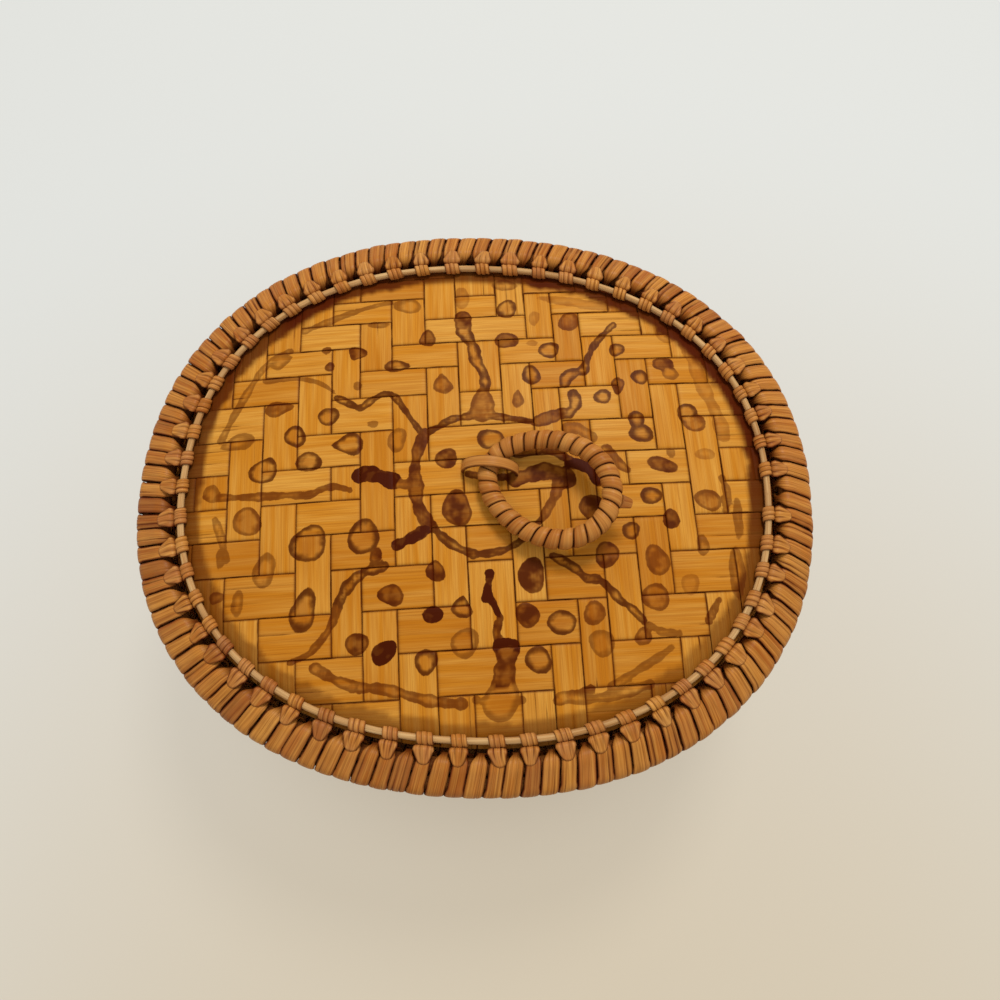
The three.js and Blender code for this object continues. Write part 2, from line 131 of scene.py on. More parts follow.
@dataclass
class Oval:
    """The lid's outline over its binding, sampled evenly by length."""

    length: float = 300.0
    width: float = 260.0
    power: float = 2.2
    samples: int = 2880
    direction_step: int = 3
    bend_step: int = 6
    perimeter: float = field(init=False)
    points: Array = field(init=False, repr=False)
    inward: Array = field(init=False, repr=False)
    bend: Array = field(init=False, repr=False)

    def __post_init__(self) -> None:
        """Works out the points, the inward directions and the bends of the outline."""
        angle = np.linspace(0.0, 2.0 * np.pi, 4 * self.samples + 1)
        along, across = np.cos(angle), np.sin(angle)
        reach = (np.abs(along) ** self.power + np.abs(across) ** self.power) ** (-1 / self.power)
        line = np.stack([self.length / 2 * reach * along, self.width / 2 * reach * across], -1)
        gone = gone_along(line)
        self.perimeter = float(gone[-1])
        even = np.linspace(0.0, self.perimeter, self.samples, endpoint=False)
        self.points = np.stack(pair_at(even, gone, line), -1)
        near, wide = self.direction_step, self.bend_step
        ahead = np.roll(self.points, -near, 0) - np.roll(self.points, near, 0)
        ahead /= np.linalg.norm(ahead, axis=1, keepdims=True)
        self.inward = np.stack([-ahead[:, 1], ahead[:, 0]], -1)
        turned = np.roll(self.inward, -wide, 0) - np.roll(self.inward, wide, 0)
        self.bend = np.linalg.norm(turned, axis=1) * self.samples / (2 * wide * self.perimeter)

    def _blend(self, table: Array, share: Array) -> Array:
        """A table's value at a share of the way round."""
        turn = np.mod(share, 1.0) * self.samples
        low = np.floor(turn).astype(int)
        part = turn - low
        if table.ndim > 1:
            part = part[..., None]
        return table[low % self.samples] * (1 - part) + table[(low + 1) % self.samples] * part

    def place(self, share: Array, inset: Array, height: Array) -> Array:
        """Points inside the outline.

        Args:
            share: how far round the outline each is, from 0 to 1.
            inset: how far inside the outline each is.
            height: how high each is.

        Returns:
            The points, with x, y and z in the last direction.
        """
        share, inset, height = np.broadcast_arrays(share, inset, height)
        flat = self._blend(self.points, share) + self._blend(self.inward, share) * inset[..., None]
        return np.concatenate([flat, height[..., None]], -1)

    def rate(self, share: Array, inset: Array) -> Array:
        """The length round the oval that one whole share stands for at a place."""
        return self.perimeter * (1 - self._blend(self.bend, share) * inset)


@dataclass(frozen=True)
class PhotoView:
    """Where the photograph was taken from, and the way from a point in it to the lid."""

    place: tuple[float, float, float] = (14.93, -102.74, 444.5)
    below_level: float = math.radians(73.09)
    heading: float = 0.038
    focal: float = 751.0
    frame_size: float = 1000.0
    sensor: float = 36.0

    def onto(self, column: float, row: float, height: float) -> tuple[float, float]:
        """The point of a level plane that is seen at a place in the photograph.

        Args:
            column: the pixel's column.
            row: the pixel's row.
            height: the plane's height.

        Returns:
            The point's x and y.
        """
        side = (column - self.frame_size / 2) / self.focal
        rise = (self.frame_size / 2 - row) / self.focal
        sine, cosine = math.sin(self.below_level), math.cos(self.below_level)
        reach = (self.place[2] - height) / (sine - rise * cosine)
        right, ahead = reach * side, reach * (cosine + rise * sine)
        turn_cos, turn_sin = math.cos(self.heading), math.sin(self.heading)
        return (
            self.place[0] + right * turn_cos - ahead * turn_sin,
            self.place[1] + right * turn_sin + ahead * turn_cos,
        )

    def camera(self) -> None:
        """Makes the camera at the photograph's place, with its angle of view."""
        data = bpy.data.cameras.new("photo_camera")
        data.sensor_width = self.sensor
        data.lens = self.focal / self.frame_size * self.sensor
        data.clip_start, data.clip_end = 0.01, 50.0
        camera = bpy.data.objects.new("photo_camera", data)
        camera.location = [c * MM for c in self.place]
        camera.rotation_euler = (math.pi / 2 - self.below_level, 0.0, self.heading)
        bpy.context.scene.collection.objects.link(camera)
        bpy.context.scene.camera = camera


class MeshDraft:
    """Gathers skins of points, with what is known of the fibre at each, into one mesh."""

    def __init__(self) -> None:
        """Starts with nothing."""
        self.points: list[Array] = []
        self.faces: list[Array] = []
        self.known: dict[str, list[Array]] = {}
        self.count = 0

    def skin(self, points: Array, known: dict[str, Array | float], ring: bool = False) -> None:
        """Adds a run of closed sections as one skin.

        Args:
            points: the sections' points, by run, section and axis.
            known: the fibre's values by name, each by run and section, or one for all.
            ring: whether the last section joins the first.
        """
        run, sides = points.shape[:2]
        index = np.arange(run * sides).reshape(run, sides)
        here = index if ring else index[:-1]
        there = np.roll(index, -1, 0) if ring else index[1:]
        quads = np.stack([here, there, np.roll(there, -1, 1), np.roll(here, -1, 1)], -1)
        quads = quads.reshape(-1, 4)
        flat = points.reshape(-1, 3)
        corner = flat[quads]
        area = np.cross(corner[:, 2] - corner[:, 0], corner[:, 3] - corner[:, 1])
        quads = quads[np.linalg.norm(area, axis=1) > SMALLEST_FACE]
        ends = [] if ring else [index[0][None, ::-1], index[-1][None, :]]
        corner = flat[quads]
        volume = np.einsum("ij,ij->i", corner[:, 0], np.cross(corner[:, 1], corner[:, 2])).sum()
        volume += np.einsum("ij,ij->i", corner[:, 0], np.cross(corner[:, 2], corner[:, 3])).sum()
        for face in [quads, *ends]:
            self.faces.append((face[:, ::-1] if volume < 0 else face) + self.count)
        self.points.append(flat)
        for name, value in known.items():
            whole = np.broadcast_to(np.asarray(value, float), (run, sides)).reshape(-1)
            self.known.setdefault(name, []).append(whole)
        self.count += len(flat)

    def make(self, name: str) -> bpy.types.Object:
        """Makes the object.

        Args:
            name: the piece's name.

        Returns:
            The object, linked to the scene.
        """
        mesh = bpy.data.meshes.new(name)
        mesh.vertices.add(self.count)
        mesh.vertices.foreach_set("co", (np.concatenate(self.points) * MM).ravel())
        sizes = np.concatenate([np.full(len(f), f.shape[1]) for f in self.faces])
        corners = np.concatenate([f.ravel() for f in self.faces])
        mesh.loops.add(len(corners))
        mesh.loops.foreach_set("vertex_index", corners)
        mesh.polygons.add(len(sizes))
        starts = np.concatenate([[0], np.cumsum(sizes)[:-1]])
        mesh.polygons.foreach_set("loop_start", starts)
        mesh.polygons.foreach_set("use_smooth", np.ones(len(sizes), bool))
        mesh.update(calc_edges=True)
        for key, parts in self.known.items():
            values = mesh.attributes.new(key, "FLOAT", "POINT").data
            values.foreach_set("value", np.concatenate(parts))
        mesh.validate()
        piece = bpy.data.objects.new(name, mesh)
        bpy.context.scene.collection.objects.link(piece)
        return piece


class Wiring:
    """Adds shader nodes to one tree and links them."""

    def __init__(self, tree: bpy.types.NodeTree) -> None:
        """Keeps the tree that the nodes go into."""
        self.tree = tree

    def feed(self, socket: Socket, value: object) -> None:
        """Links a socket to another, or sets its value."""
        if isinstance(value, bpy.types.NodeSocket):
            self.tree.links.new(value, socket)
        else:
            socket.default_value = value

    def add(self, kind: str, values: dict[str, object], **settings: object) -> bpy.types.Node:
        """A new node.

        Args:
            kind: the node's type, after "ShaderNode".
            values: what each named input is fed with.
            settings: the node's own settings.

        Returns:
            The node.
        """
        node = self.tree.nodes.new("ShaderNode" + kind)
        for name, value in settings.items():
            setattr(node, name, value)
        for name, value in values.items():
            self.feed(node.inputs[name], value)
        return node

    def math(self, what: str, *values: object, clamp: bool = False) -> Socket:
        """The result of a Math node on two or three values."""
        node = self.add("Math", {}, operation=what, use_clamp=clamp)
        for socket, value in zip(node.inputs, values):
            self.feed(socket, value)
        return node.outputs[0]

    def ramp(self, value: Socket, low: float, high: float) -> Socket:
        """A smooth rise from 0 to 1 as the value goes from low to high."""
        node = self.add("MapRange", {"Value": value}, interpolation_type="SMOOTHSTEP")
        node.inputs["From Min"].default_value = low
        node.inputs["From Max"].default_value = high
        return node.outputs["Result"]

    def times(self, first: object, second: object, clamp: bool = False) -> Socket:
        """The product of two values."""
        return self.math("MULTIPLY", first, second, clamp=clamp)

    def scaled(self, value: object, factor: object, more: object) -> Socket:
        """A value times a factor, with more added."""
        return self.math("MULTIPLY_ADD", value, factor, more)

    def rest(self, value: object) -> Socket:
        """What a value leaves of 1."""
        return self.math("SUBTRACT", 1.0, value)

    def mix(self, share: object, first: object, second: object) -> Socket:
        """A mix of two colours, by a share of the second."""
        node = self.add("Mix", {}, data_type="RGBA")
        for place, value in ((0, share), (6, first), (7, second)):
            flat = isinstance(value, tuple) and len(value) == 3
            self.feed(node.inputs[place], (*value, 1.0) if flat else value)
        return node.outputs[2]

    def noise(self, place: Socket, scale: float, detail: float = 2.0) -> Socket:
        """Noise at a place, from 0 to 1."""
        values = {"Vector": place, "Scale": scale, "Detail": detail}
        return self.add("TexNoise", values).outputs["Fac"]

    def place(self, x: object, y: object, z: object) -> Socket:
        """A place made of three values."""
        return self.add("CombineXYZ", {"X": x, "Y": y, "Z": z}).outputs[0]

    def known(self, name: str) -> Socket:
        """A value that the mesh carries."""
        return self.add("Attribute", {}, attribute_name=name).outputs["Fac"]


@dataclass(frozen=True)
class Effect:
    """A shader node group: its name, and its inputs with their first values."""

    name: str
    inputs: dict[str, float]
    outputs: tuple[str, ...]

    def tree(self, fill: Callable[[Wiring, Sockets], Sockets]) -> None:
        """Builds the group.

        Args:
            fill: adds the nodes that turn the group's inputs into its outputs, by name.
        """
        tree = bpy.data.node_groups.new(self.name, "ShaderNodeTree")
        for name, value in self.inputs.items():
            socket = tree.interface.new_socket(name, in_out="INPUT", socket_type="NodeSocketFloat")
            socket.default_value = value
        for name in self.outputs:
            tree.interface.new_socket(name, in_out="OUTPUT", socket_type="NodeSocketFloat")
        wiring = Wiring(tree)
        given = tree.nodes.new("NodeGroupInput").outputs
        result = tree.nodes.new("NodeGroupOutput").inputs
        for name, value in fill(wiring, {name: given[name] for name in self.inputs}).items():
            wiring.feed(result[name], value)

    def use(self, wiring: Wiring, **values: object) -> bpy.types.Node:
        """Places the group in a material.

        Args:
            wiring: the material's wiring.
            values: what each input is fed with, by its name with _ for a space.

        Returns:
            The group's node.
        """
        node = wiring.tree.nodes.new("ShaderNodeGroup")
        node.node_tree = bpy.data.node_groups[self.name]
        for name, value in values.items():
            wiring.feed(node.inputs[name.replace("_", " ")], value)
        return node


GRAIN = Effect(
    "fibre_grain",
    {"Along": 0.0, "Across": 0.0, "Seed": 0.0, "Fine": 3.0, "Broad": 0.7},
    ("Streak", "Band", "Hair", "Height"),
)
SCORCH = Effect("scorched_mark_and_painted_shadow", {"Gap": 6.0, "Dark": 1.0, "Fill": 0.5}, ("Wash", "Char"))
CREVICE = Effect(
    "crevice_dirt_and_painted_shade",
    {"Side": 3.0, "Shade": 0.0, "Line": 0.35, "Amount": 0.8, "Along": 0.0, "Seed": 0.0},
    ("Mask",),
)
WEAR = Effect("worn_peel", {"Wear": 0.0, "Streak": 0.5, "Amount": 0.6}, ("Mask",))


def fill_grain(wiring: Wiring, given: Sockets) -> Sockets:
    """Fibre that runs lengthwise: fine streaks, broad bands, hairlines, and the relief."""
    across, along = given["Across"], given["Along"]
    shift = wiring.times(given["Seed"], 37.0)
    fine = wiring.times(across, given["Fine"])
    broad = wiring.times(across, given["Broad"])
    slow = wiring.times(along, 0.045)
    slower = wiring.times(along, 0.02)
    streak = wiring.noise(wiring.place(fine, slow, shift), 1.0, 4.0)
    band = wiring.noise(wiring.place(broad, slower, wiring.math("ADD", shift, 11.0)), 1.0, 1.0)
    thin = wiring.times(fine, 1.9)
    hair = wiring.noise(wiring.place(thin, slower, wiring.math("ADD", shift, 23.0)), 1.0, 2.0)
    return {
        "Streak": wiring.ramp(streak, 0.32, 0.68), "Band": wiring.ramp(band, 0.3, 0.7),
        "Hair": wiring.ramp(hair, 0.58, 0.7),
        "Height": wiring.scaled(streak, 0.7, wiring.times(band, 0.3)),
    }


def fill_scorch(wiring: Wiring, given: Sockets) -> Sockets:
    """A burnt mark: an amber wash, a charred edge of uneven width, and charred patches in dark ones."""
    place = wiring.add("NewGeometry", {}).outputs["Position"]
    wander = wiring.math("SUBTRACT", wiring.noise(place, 420.0, 3.0), 0.5)
    gap = wiring.math("ADD", wander, given["Gap"])
    inside = wiring.rest(wiring.ramp(gap, -0.25, 0.2))
    moved = wiring.add("VectorMath", {0: place, 1: (3.1, 1.7, 0.0)}, operation="ADD").outputs[0]
    patch = wiring.ramp(wiring.noise(moved, 150.0, 2.0), 0.36, 0.64)
    depth = wiring.times(gap, -1.0)
    reach = wiring.scaled(patch, 1.7, 2.0)
    rim = wiring.rest(wiring.ramp(wiring.math("DIVIDE", depth, reach), 0.3, 1.0))
    rim = wiring.times(rim, wiring.scaled(patch, 0.12, 0.86))
    pool = wiring.scaled(patch, 0.6, wiring.scaled(given["Fill"], 2.6, -1.72))
    char = wiring.math("MAXIMUM", rim, wiring.math("MAXIMUM", pool, 0.0))
    char = wiring.times(wiring.times(inside, char), given["Dark"], clamp=True)
    wash = wiring.times(wiring.scaled(patch, 0.35, 0.6), given["Fill"])
    wash = wiring.times(inside, wash, clamp=True)
    return {"Wash": wash, "Char": char}


def fill_crevice(wiring: Wiring, given: Sockets) -> Sockets:
    """Dark lines along a strip's edges, broken here and there, partly dirt in the joints and partly painted
    shade in the crevices, and painted shade wherever the shade value is set.
    """
    edge = wiring.math("DIVIDE", given["Side"], given["Line"])
    line = wiring.rest(wiring.ramp(edge, 0.25, 1.6))
    place = wiring.place(wiring.times(given["Along"], 0.09), given["Seed"], 5.0)
    broken = wiring.ramp(wiring.noise(place, 1.0, 2.0), 0.34, 0.62)
    line = wiring.times(line, wiring.scaled(broken, 0.6, 0.4))
    dirt_and_shade = wiring.math("MAXIMUM", line, given["Shade"])
    return {"Mask": wiring.times(dirt_and_shade, given["Amount"], clamp=True)}


def fill_wear(wiring: Wiring, given: Sockets) -> Sockets:
    """Where the peel's gloss is rubbed away, in patches that follow the fibre."""
    place = wiring.add("NewGeometry", {}).outputs["Position"]
    patch = wiring.ramp(wiring.noise(place, 95.0, 3.0), 0.35, 0.65)
    mixed = wiring.scaled(given["Streak"], 0.5, wiring.times(patch, 0.6))
    worn = wiring.times(mixed, given["Wear"])
    return {"Mask": wiring.times(worn, given["Amount"], clamp=True)}


def build_effects() -> None:
    """Builds each shared effect once."""
    fills = ((GRAIN, fill_grain), (SCORCH, fill_scorch), (CREVICE, fill_crevice), (WEAR, fill_wear))
    for effect, fill in fills:
        effect.tree(fill)


@dataclass(frozen=True)
class FibreFinish:
    """A finish of bamboo splint or rattan cane, from light to dark."""

    name: str
    slot: str
    base: Rgb
    light: Rgb
    dark: Rgb
    # The dirt colour also paints shade: in crevices, under things and where strips dive under others.
    dirt_and_shade: Rgb = linear("300e02")
    worn: Rgb = linear("a58f74")
    # The singed and burnt colours also paint the few shadows drawn as marks by the ring and under the
    # strap.
    singed_and_shadow: Rgb = linear("8f4004")
    burnt_and_shadow: Rgb = linear("471602")
    fine: float = 3.0
    broad: float = 0.7
    streaks: float = 0.55
    bands: float = 0.5
    hairs: float = 0.35
    tones: float = 0.45
    line: float = 0.35
    dirt_and_shade_amount: float = 0.85
    wear_amount: float = 0.0
    roughness: float = 0.45
    specular: float = 0.08
    coat: float = 0.01
    relief: float = 0.12
    scorched: bool = False

    def material(self) -> bpy.types.Material:
        """The finish as a material, made once.

        Returns:
            The material.
        """
        if self.name in bpy.data.materials:
            return bpy.data.materials[self.name]
        material = bpy.data.materials.new(self.name)
        material.use_nodes = True
        wiring = Wiring(material.node_tree)
        shader = material.node_tree.nodes["Principled BSDF"]
        along, across, seed = (wiring.known(name) for name in ("along", "across", "seed"))
        grain = GRAIN.use(wiring, Along=along, Across=across, Seed=seed, Fine=self.fine, Broad=self.broad)
        streak, band = grain.outputs["Streak"], grain.outputs["Band"]
        tone = wiring.known("tone")
        light_share = wiring.times(band, self.bands)
        dark_share = wiring.times(wiring.rest(streak), self.streaks)
        colour = wiring.mix(light_share, self.base, self.light)
        colour = wiring.mix(wiring.times(tone, self.tones, clamp=True), colour, self.light)
        colour = wiring.mix(wiring.times(tone, -self.tones, clamp=True), colour, self.dark)
        colour = wiring.mix(dark_share, colour, self.dark)
        colour = wiring.mix(wiring.times(grain.outputs["Hair"], self.hairs), colour, self.dirt_and_shade)
        rough = wiring.scaled(streak, -0.1, self.roughness + 0.06)
        if self.scorched:
            colour = self._scorch(wiring, colour)
        if self.wear_amount:
            worn = WEAR.use(wiring, Wear=wiring.known("wear"), Streak=streak, Amount=self.wear_amount)
            colour = wiring.mix(worn.outputs["Mask"], colour, self.worn)
            rough = wiring.scaled(worn.outputs["Mask"], 0.3, rough)
        # Painted shade: edge lines and the shade value mix towards the dirt colour; the edge lines are
        # partly real dirt in the joints.
        crevice = CREVICE.use(
            wiring, Side=wiring.known("side"), Shade=wiring.known("shade"), Line=self.line,
            Amount=self.dirt_and_shade_amount, Along=along, Seed=seed,
        )
        colour = wiring.mix(crevice.outputs["Mask"], colour, self.dirt_and_shade)
        rough = wiring.scaled(crevice.outputs["Mask"], 0.3, rough)
        relief = {"Height": grain.outputs["Height"], "Strength": 0.6, "Distance": self.relief * MM}
        values = {
            "Base Color": colour, "Roughness": rough, "Normal": wiring.add("Bump", relief).outputs[0],
            "Specular IOR Level": self.specular, "Coat Weight": self.coat, "Coat Roughness": 0.32,
            "IOR": 1.45,
        }
        for name, value in values.items():
            wiring.feed(shader.inputs[name], value)
        return material

    def _scorch(self, wiring: Wiring, colour: Socket) -> Socket:
        """The colour with the scorched marks on it, and the painted shadows drawn as marks."""
        values = {key: wiring.known("mark_" + key.lower()) for key in ("Gap", "Dark", "Fill")}
        mark = SCORCH.use(wiring, **values)
        colour = wiring.mix(mark.outputs["Wash"], colour, self.singed_and_shadow)
        return wiring.mix(mark.outputs["Char"], colour, self.burnt_and_shadow)


PANEL_SPLINT = FibreFinish(
    "panel_splint_finish", "panel_splint", linear("cb8322"), linear("e3ab50"), linear("a85c0e"),
    dirt_and_shade=linear("4e1602"), fine=2.4, broad=0.35, streaks=0.42, hairs=0.24, tones=0.34,
    line=0.32, dirt_and_shade_amount=0.92, roughness=0.4, specular=0.035, scorched=True,
)
BODY_SPLINT = FibreFinish(
    "body_splint_finish", "body_splint", linear("c48632"), linear("dba858"), linear("9a5e1c"),
    dirt_and_shade=linear("4a2008"), fine=2.4, broad=0.4, streaks=0.45, tones=0.5, line=0.4, roughness=0.5,
)
BINDING_CANE = FibreFinish(
    "binding_cane_finish", "binding_cane", linear("ba6c22"), linear("da9842"), linear("7c390c"),
    dirt_and_shade=linear("541604"), worn=linear("c4a886"), fine=2.0, broad=0.55, bands=0.6, tones=0.5,
    line=0.56, dirt_and_shade_amount=0.94, wear_amount=0.5, roughness=0.36, coat=0.03, relief=0.2,
)
HANDLE_CANE = FibreFinish(
    "handle_cane_finish", "handle_cane", linear("b66f2d"), linear("dea254"), linear("824012"),
    dirt_and_shade=linear("4a1402"), fine=2.2, broad=0.6, streaks=0.4, hairs=0.2, tones=0.4, line=0.5,
    dirt_and_shade_amount=0.94, roughness=0.36, coat=0.03, relief=0.16,
)
CORE_CANE = FibreFinish(
    "core_cane_finish", "core_cane", linear("703c16"), linear("925c28"), linear("481f08"),
    fine=1.8, broad=0.5, bands=0.4, roughness=0.65, coat=0.0,
)
PALE_ROD = FibreFinish(
    "pale_rod_finish", "pale_rod", linear("c8965c"), linear("e4c088"), linear("8e5828"),
    dirt_and_shade=linear("4a1f08"), fine=2.6, broad=0.8, streaks=0.45, bands=0.6, line=0.3, coat=0.03,
)


def show(draft: MeshDraft, name: str, finish: FibreFinish, body: Body, *nodes: str) -> None:
    """Makes a piece of the basket from its draft.

    Args:
        draft: the piece's skins.
        name: the piece's name.
        finish: what it is made of.
        body: the body that it moves with.
        nodes: the solids that it stands for.
    """
    piece = draft.make(name)
    piece.data.materials.append(finish.material())
    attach(piece, body.value)
    if nodes:
        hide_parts(*nodes)
    log.info("%s: %d faces on %s", name, len(piece.data.polygons), body.value)


class MarkStyle(Enum):
    """How a scorched mark, or a painted shadow drawn as one, looks: how dark its charred edge is, and how
    strong its inner wash.
    """

    RING = (0.9, 0.42)
    DARK = (0.81, 0.85)
    BLACK = (1.0, 1.0)
    BROWN = (0.62, 0.7)
    FAINT = (0.5, 0.34)
    STAIN = (0.22, 0.4)


@dataclass(frozen=True)
class Spot:
    """A round scorched mark, by its place and half sizes in the photograph's pixels."""

    column: float
    row: float
    wide: float
    tall: float
    style: MarkStyle = MarkStyle.RING
    lean: float = 0.0
    point: float = 0.0


@dataclass(frozen=True)
class Stroke:
    """A wavy scorched line, or a painted shadow drawn the same way, by the places that it passes in the
    photograph's pixels.
    """

    stops: tuple[tuple[float, float], ...]
    half_width: float
    style: MarkStyle = MarkStyle.RING
    end_width: float = 1.0


RING, DARK, BLACK, BROWN, FAINT, STAIN = MarkStyle
SPOTS = (
    Spot(427, 339, 9, 10, DARK, 200, 0.4), Spot(398, 366, 13, 7, RING, 5, 0.5),
    Spot(356.6, 354, 9, 8.5, DARK, 250, 0.5), Spot(326.5, 350.6, 5.5, 4.5, BROWN),
    Spot(329.8, 367, 5, 5.5, DARK), Spot(377.8, 325, 11, 4.5, FAINT, 4),
    Spot(408, 306, 16, 9, FAINT), Spot(442.5, 384, 9, 12, BROWN, 100, 0.4),
    Spot(328.7, 416.4, 10.5, 10.5, RING), Spot(295.2, 436.5, 11, 12, RING),
    Spot(347.7, 444.3, 17.5, 10.5, RING, 188, 0.6), Spot(396.8, 440, 9.5, 13, FAINT),
    Spot(308.6, 462, 12.5, 11, RING), Spot(264, 471, 13, 15, RING, 60, 0.2),
    Spot(446.5, 458.5, 12, 10, DARK), Spot(456.7, 508, 14.5, 18, DARK, 90, 0.1),
    Spot(237, 443, 17, 9, FAINT, 200, 0.5), Spot(211.5, 494, 9, 9, FAINT),
    Spot(278.5, 409, 16, 8, BROWN, 10, 0.3), Spot(373, 424, 6, 4, FAINT),
    Spot(281, 361, 12, 9, FAINT, 30, 0.5), Spot(357.7, 386, 5, 5, FAINT),
    Spot(506.5, 309, 11, 11.5, RING), Spot(506.5, 340.4, 12, 10, DARK),
    Spot(568.8, 322, 12, 11, BROWN, 300, 0.2), Spot(549.4, 350.5, 10.5, 10.5, RING, 300, 0.4),
    Spot(616.7, 349.6, 8.5, 8, RING), Spot(639.5, 377, 8.5, 9, RING),
    Spot(531, 375, 10, 11, RING), Spot(517.8, 399, 5.5, 11, BROWN, 90, 0.4),
    Spot(602.4, 396.5, 9, 8.5, RING), Spot(617.8, 385.5, 7, 9.5, DARK, 270, 0.2),
    Spot(636.5, 420, 9, 10, RING), Spot(641.5, 433.5, 13, 9.5, RING, -10),
    Spot(490, 439, 13, 11, RING), Spot(593, 508, 13, 14, DARK),
    Spot(504, 285, 15, 7, FAINT), Spot(534, 318, 6, 9, STAIN),
    Spot(532, 343, 6, 4, STAIN), Spot(462, 298, 8, 14, STAIN),
    Spot(363.5, 536, 14.5, 19, RING, 70, 0.2), Spot(435.5, 571, 9.5, 10, DARK, 100, 0.2),
    Spot(390.5, 595, 12, 10.5, DARK, 180, 0.2), Spot(432.7, 615, 9.5, 8.5, BLACK, 270, 0.2),
    Spot(461.7, 607, 9, 11, RING, 90, 0.5), Spot(356.8, 644, 10.5, 11, DARK),
    Spot(384.7, 652, 10, 13, BLACK, 55, 0.3), Spot(426, 662, 10, 13, RING, 270, 0.1),
    Spot(465, 643, 13, 14, FAINT), Spot(531.5, 575, 13.5, 16, DARK, 90, 0.05),
    Spot(527.5, 615, 11.5, 11.5, DARK), Spot(562, 623, 13, 12.5, RING, 280, 0.25),
    Spot(594.5, 613, 10, 12, BROWN), Spot(602, 643, 11.5, 13.5, FAINT),
    Spot(538.7, 660, 13, 12, RING), Spot(607, 554.5, 12, 12.5, DARK),
    Spot(631, 530.5, 8.5, 9.5, RING), Spot(247, 522, 14, 15, BROWN),
    Spot(308.6, 543.5, 16, 21, RING, 60, 0.15), Spot(264, 571, 11, 17, FAINT),
    Spot(303, 611, 12.5, 20, RING, 80, 0.15), Spot(220.4, 558, 4.5, 11, FAINT),
    Spot(237, 604, 6, 12, FAINT), Spot(216, 598, 7, 6, BROWN),
    Spot(663.3, 364.5, 11, 8.5, DARK), Spot(670, 373, 9, 8, FAINT),
    Spot(687, 413, 11, 10.5, RING), Spot(695, 423, 11, 10, BROWN),
    Spot(662, 464.5, 15, 8, DARK, -8), Spot(671, 453, 5, 5, FAINT),
    Spot(705, 454, 11, 6, STAIN), Spot(651, 495.5, 10.5, 9.5, RING),
    Spot(708.6, 500, 13.5, 11, BROWN), Spot(671.3, 519, 9, 9.5, DARK),
    Spot(657.3, 560, 11.5, 15.5, BROWN, 100, 0.1), Spot(656, 597, 12.5, 14, BROWN),
    Spot(703, 545, 6.5, 10, FAINT), Spot(690.6, 584, 9.5, 9.5, STAIN),
    Spot(643.7, 636.5, 8, 9, BROWN), Spot(737.5, 572, 8, 27, FAINT),
    Spot(738, 518, 5, 21, FAINT), Spot(376, 556, 6, 8, DARK),
    Spot(667, 334, 12, 11, STAIN), Spot(578, 303, 40, 6, STAIN, -6),
)
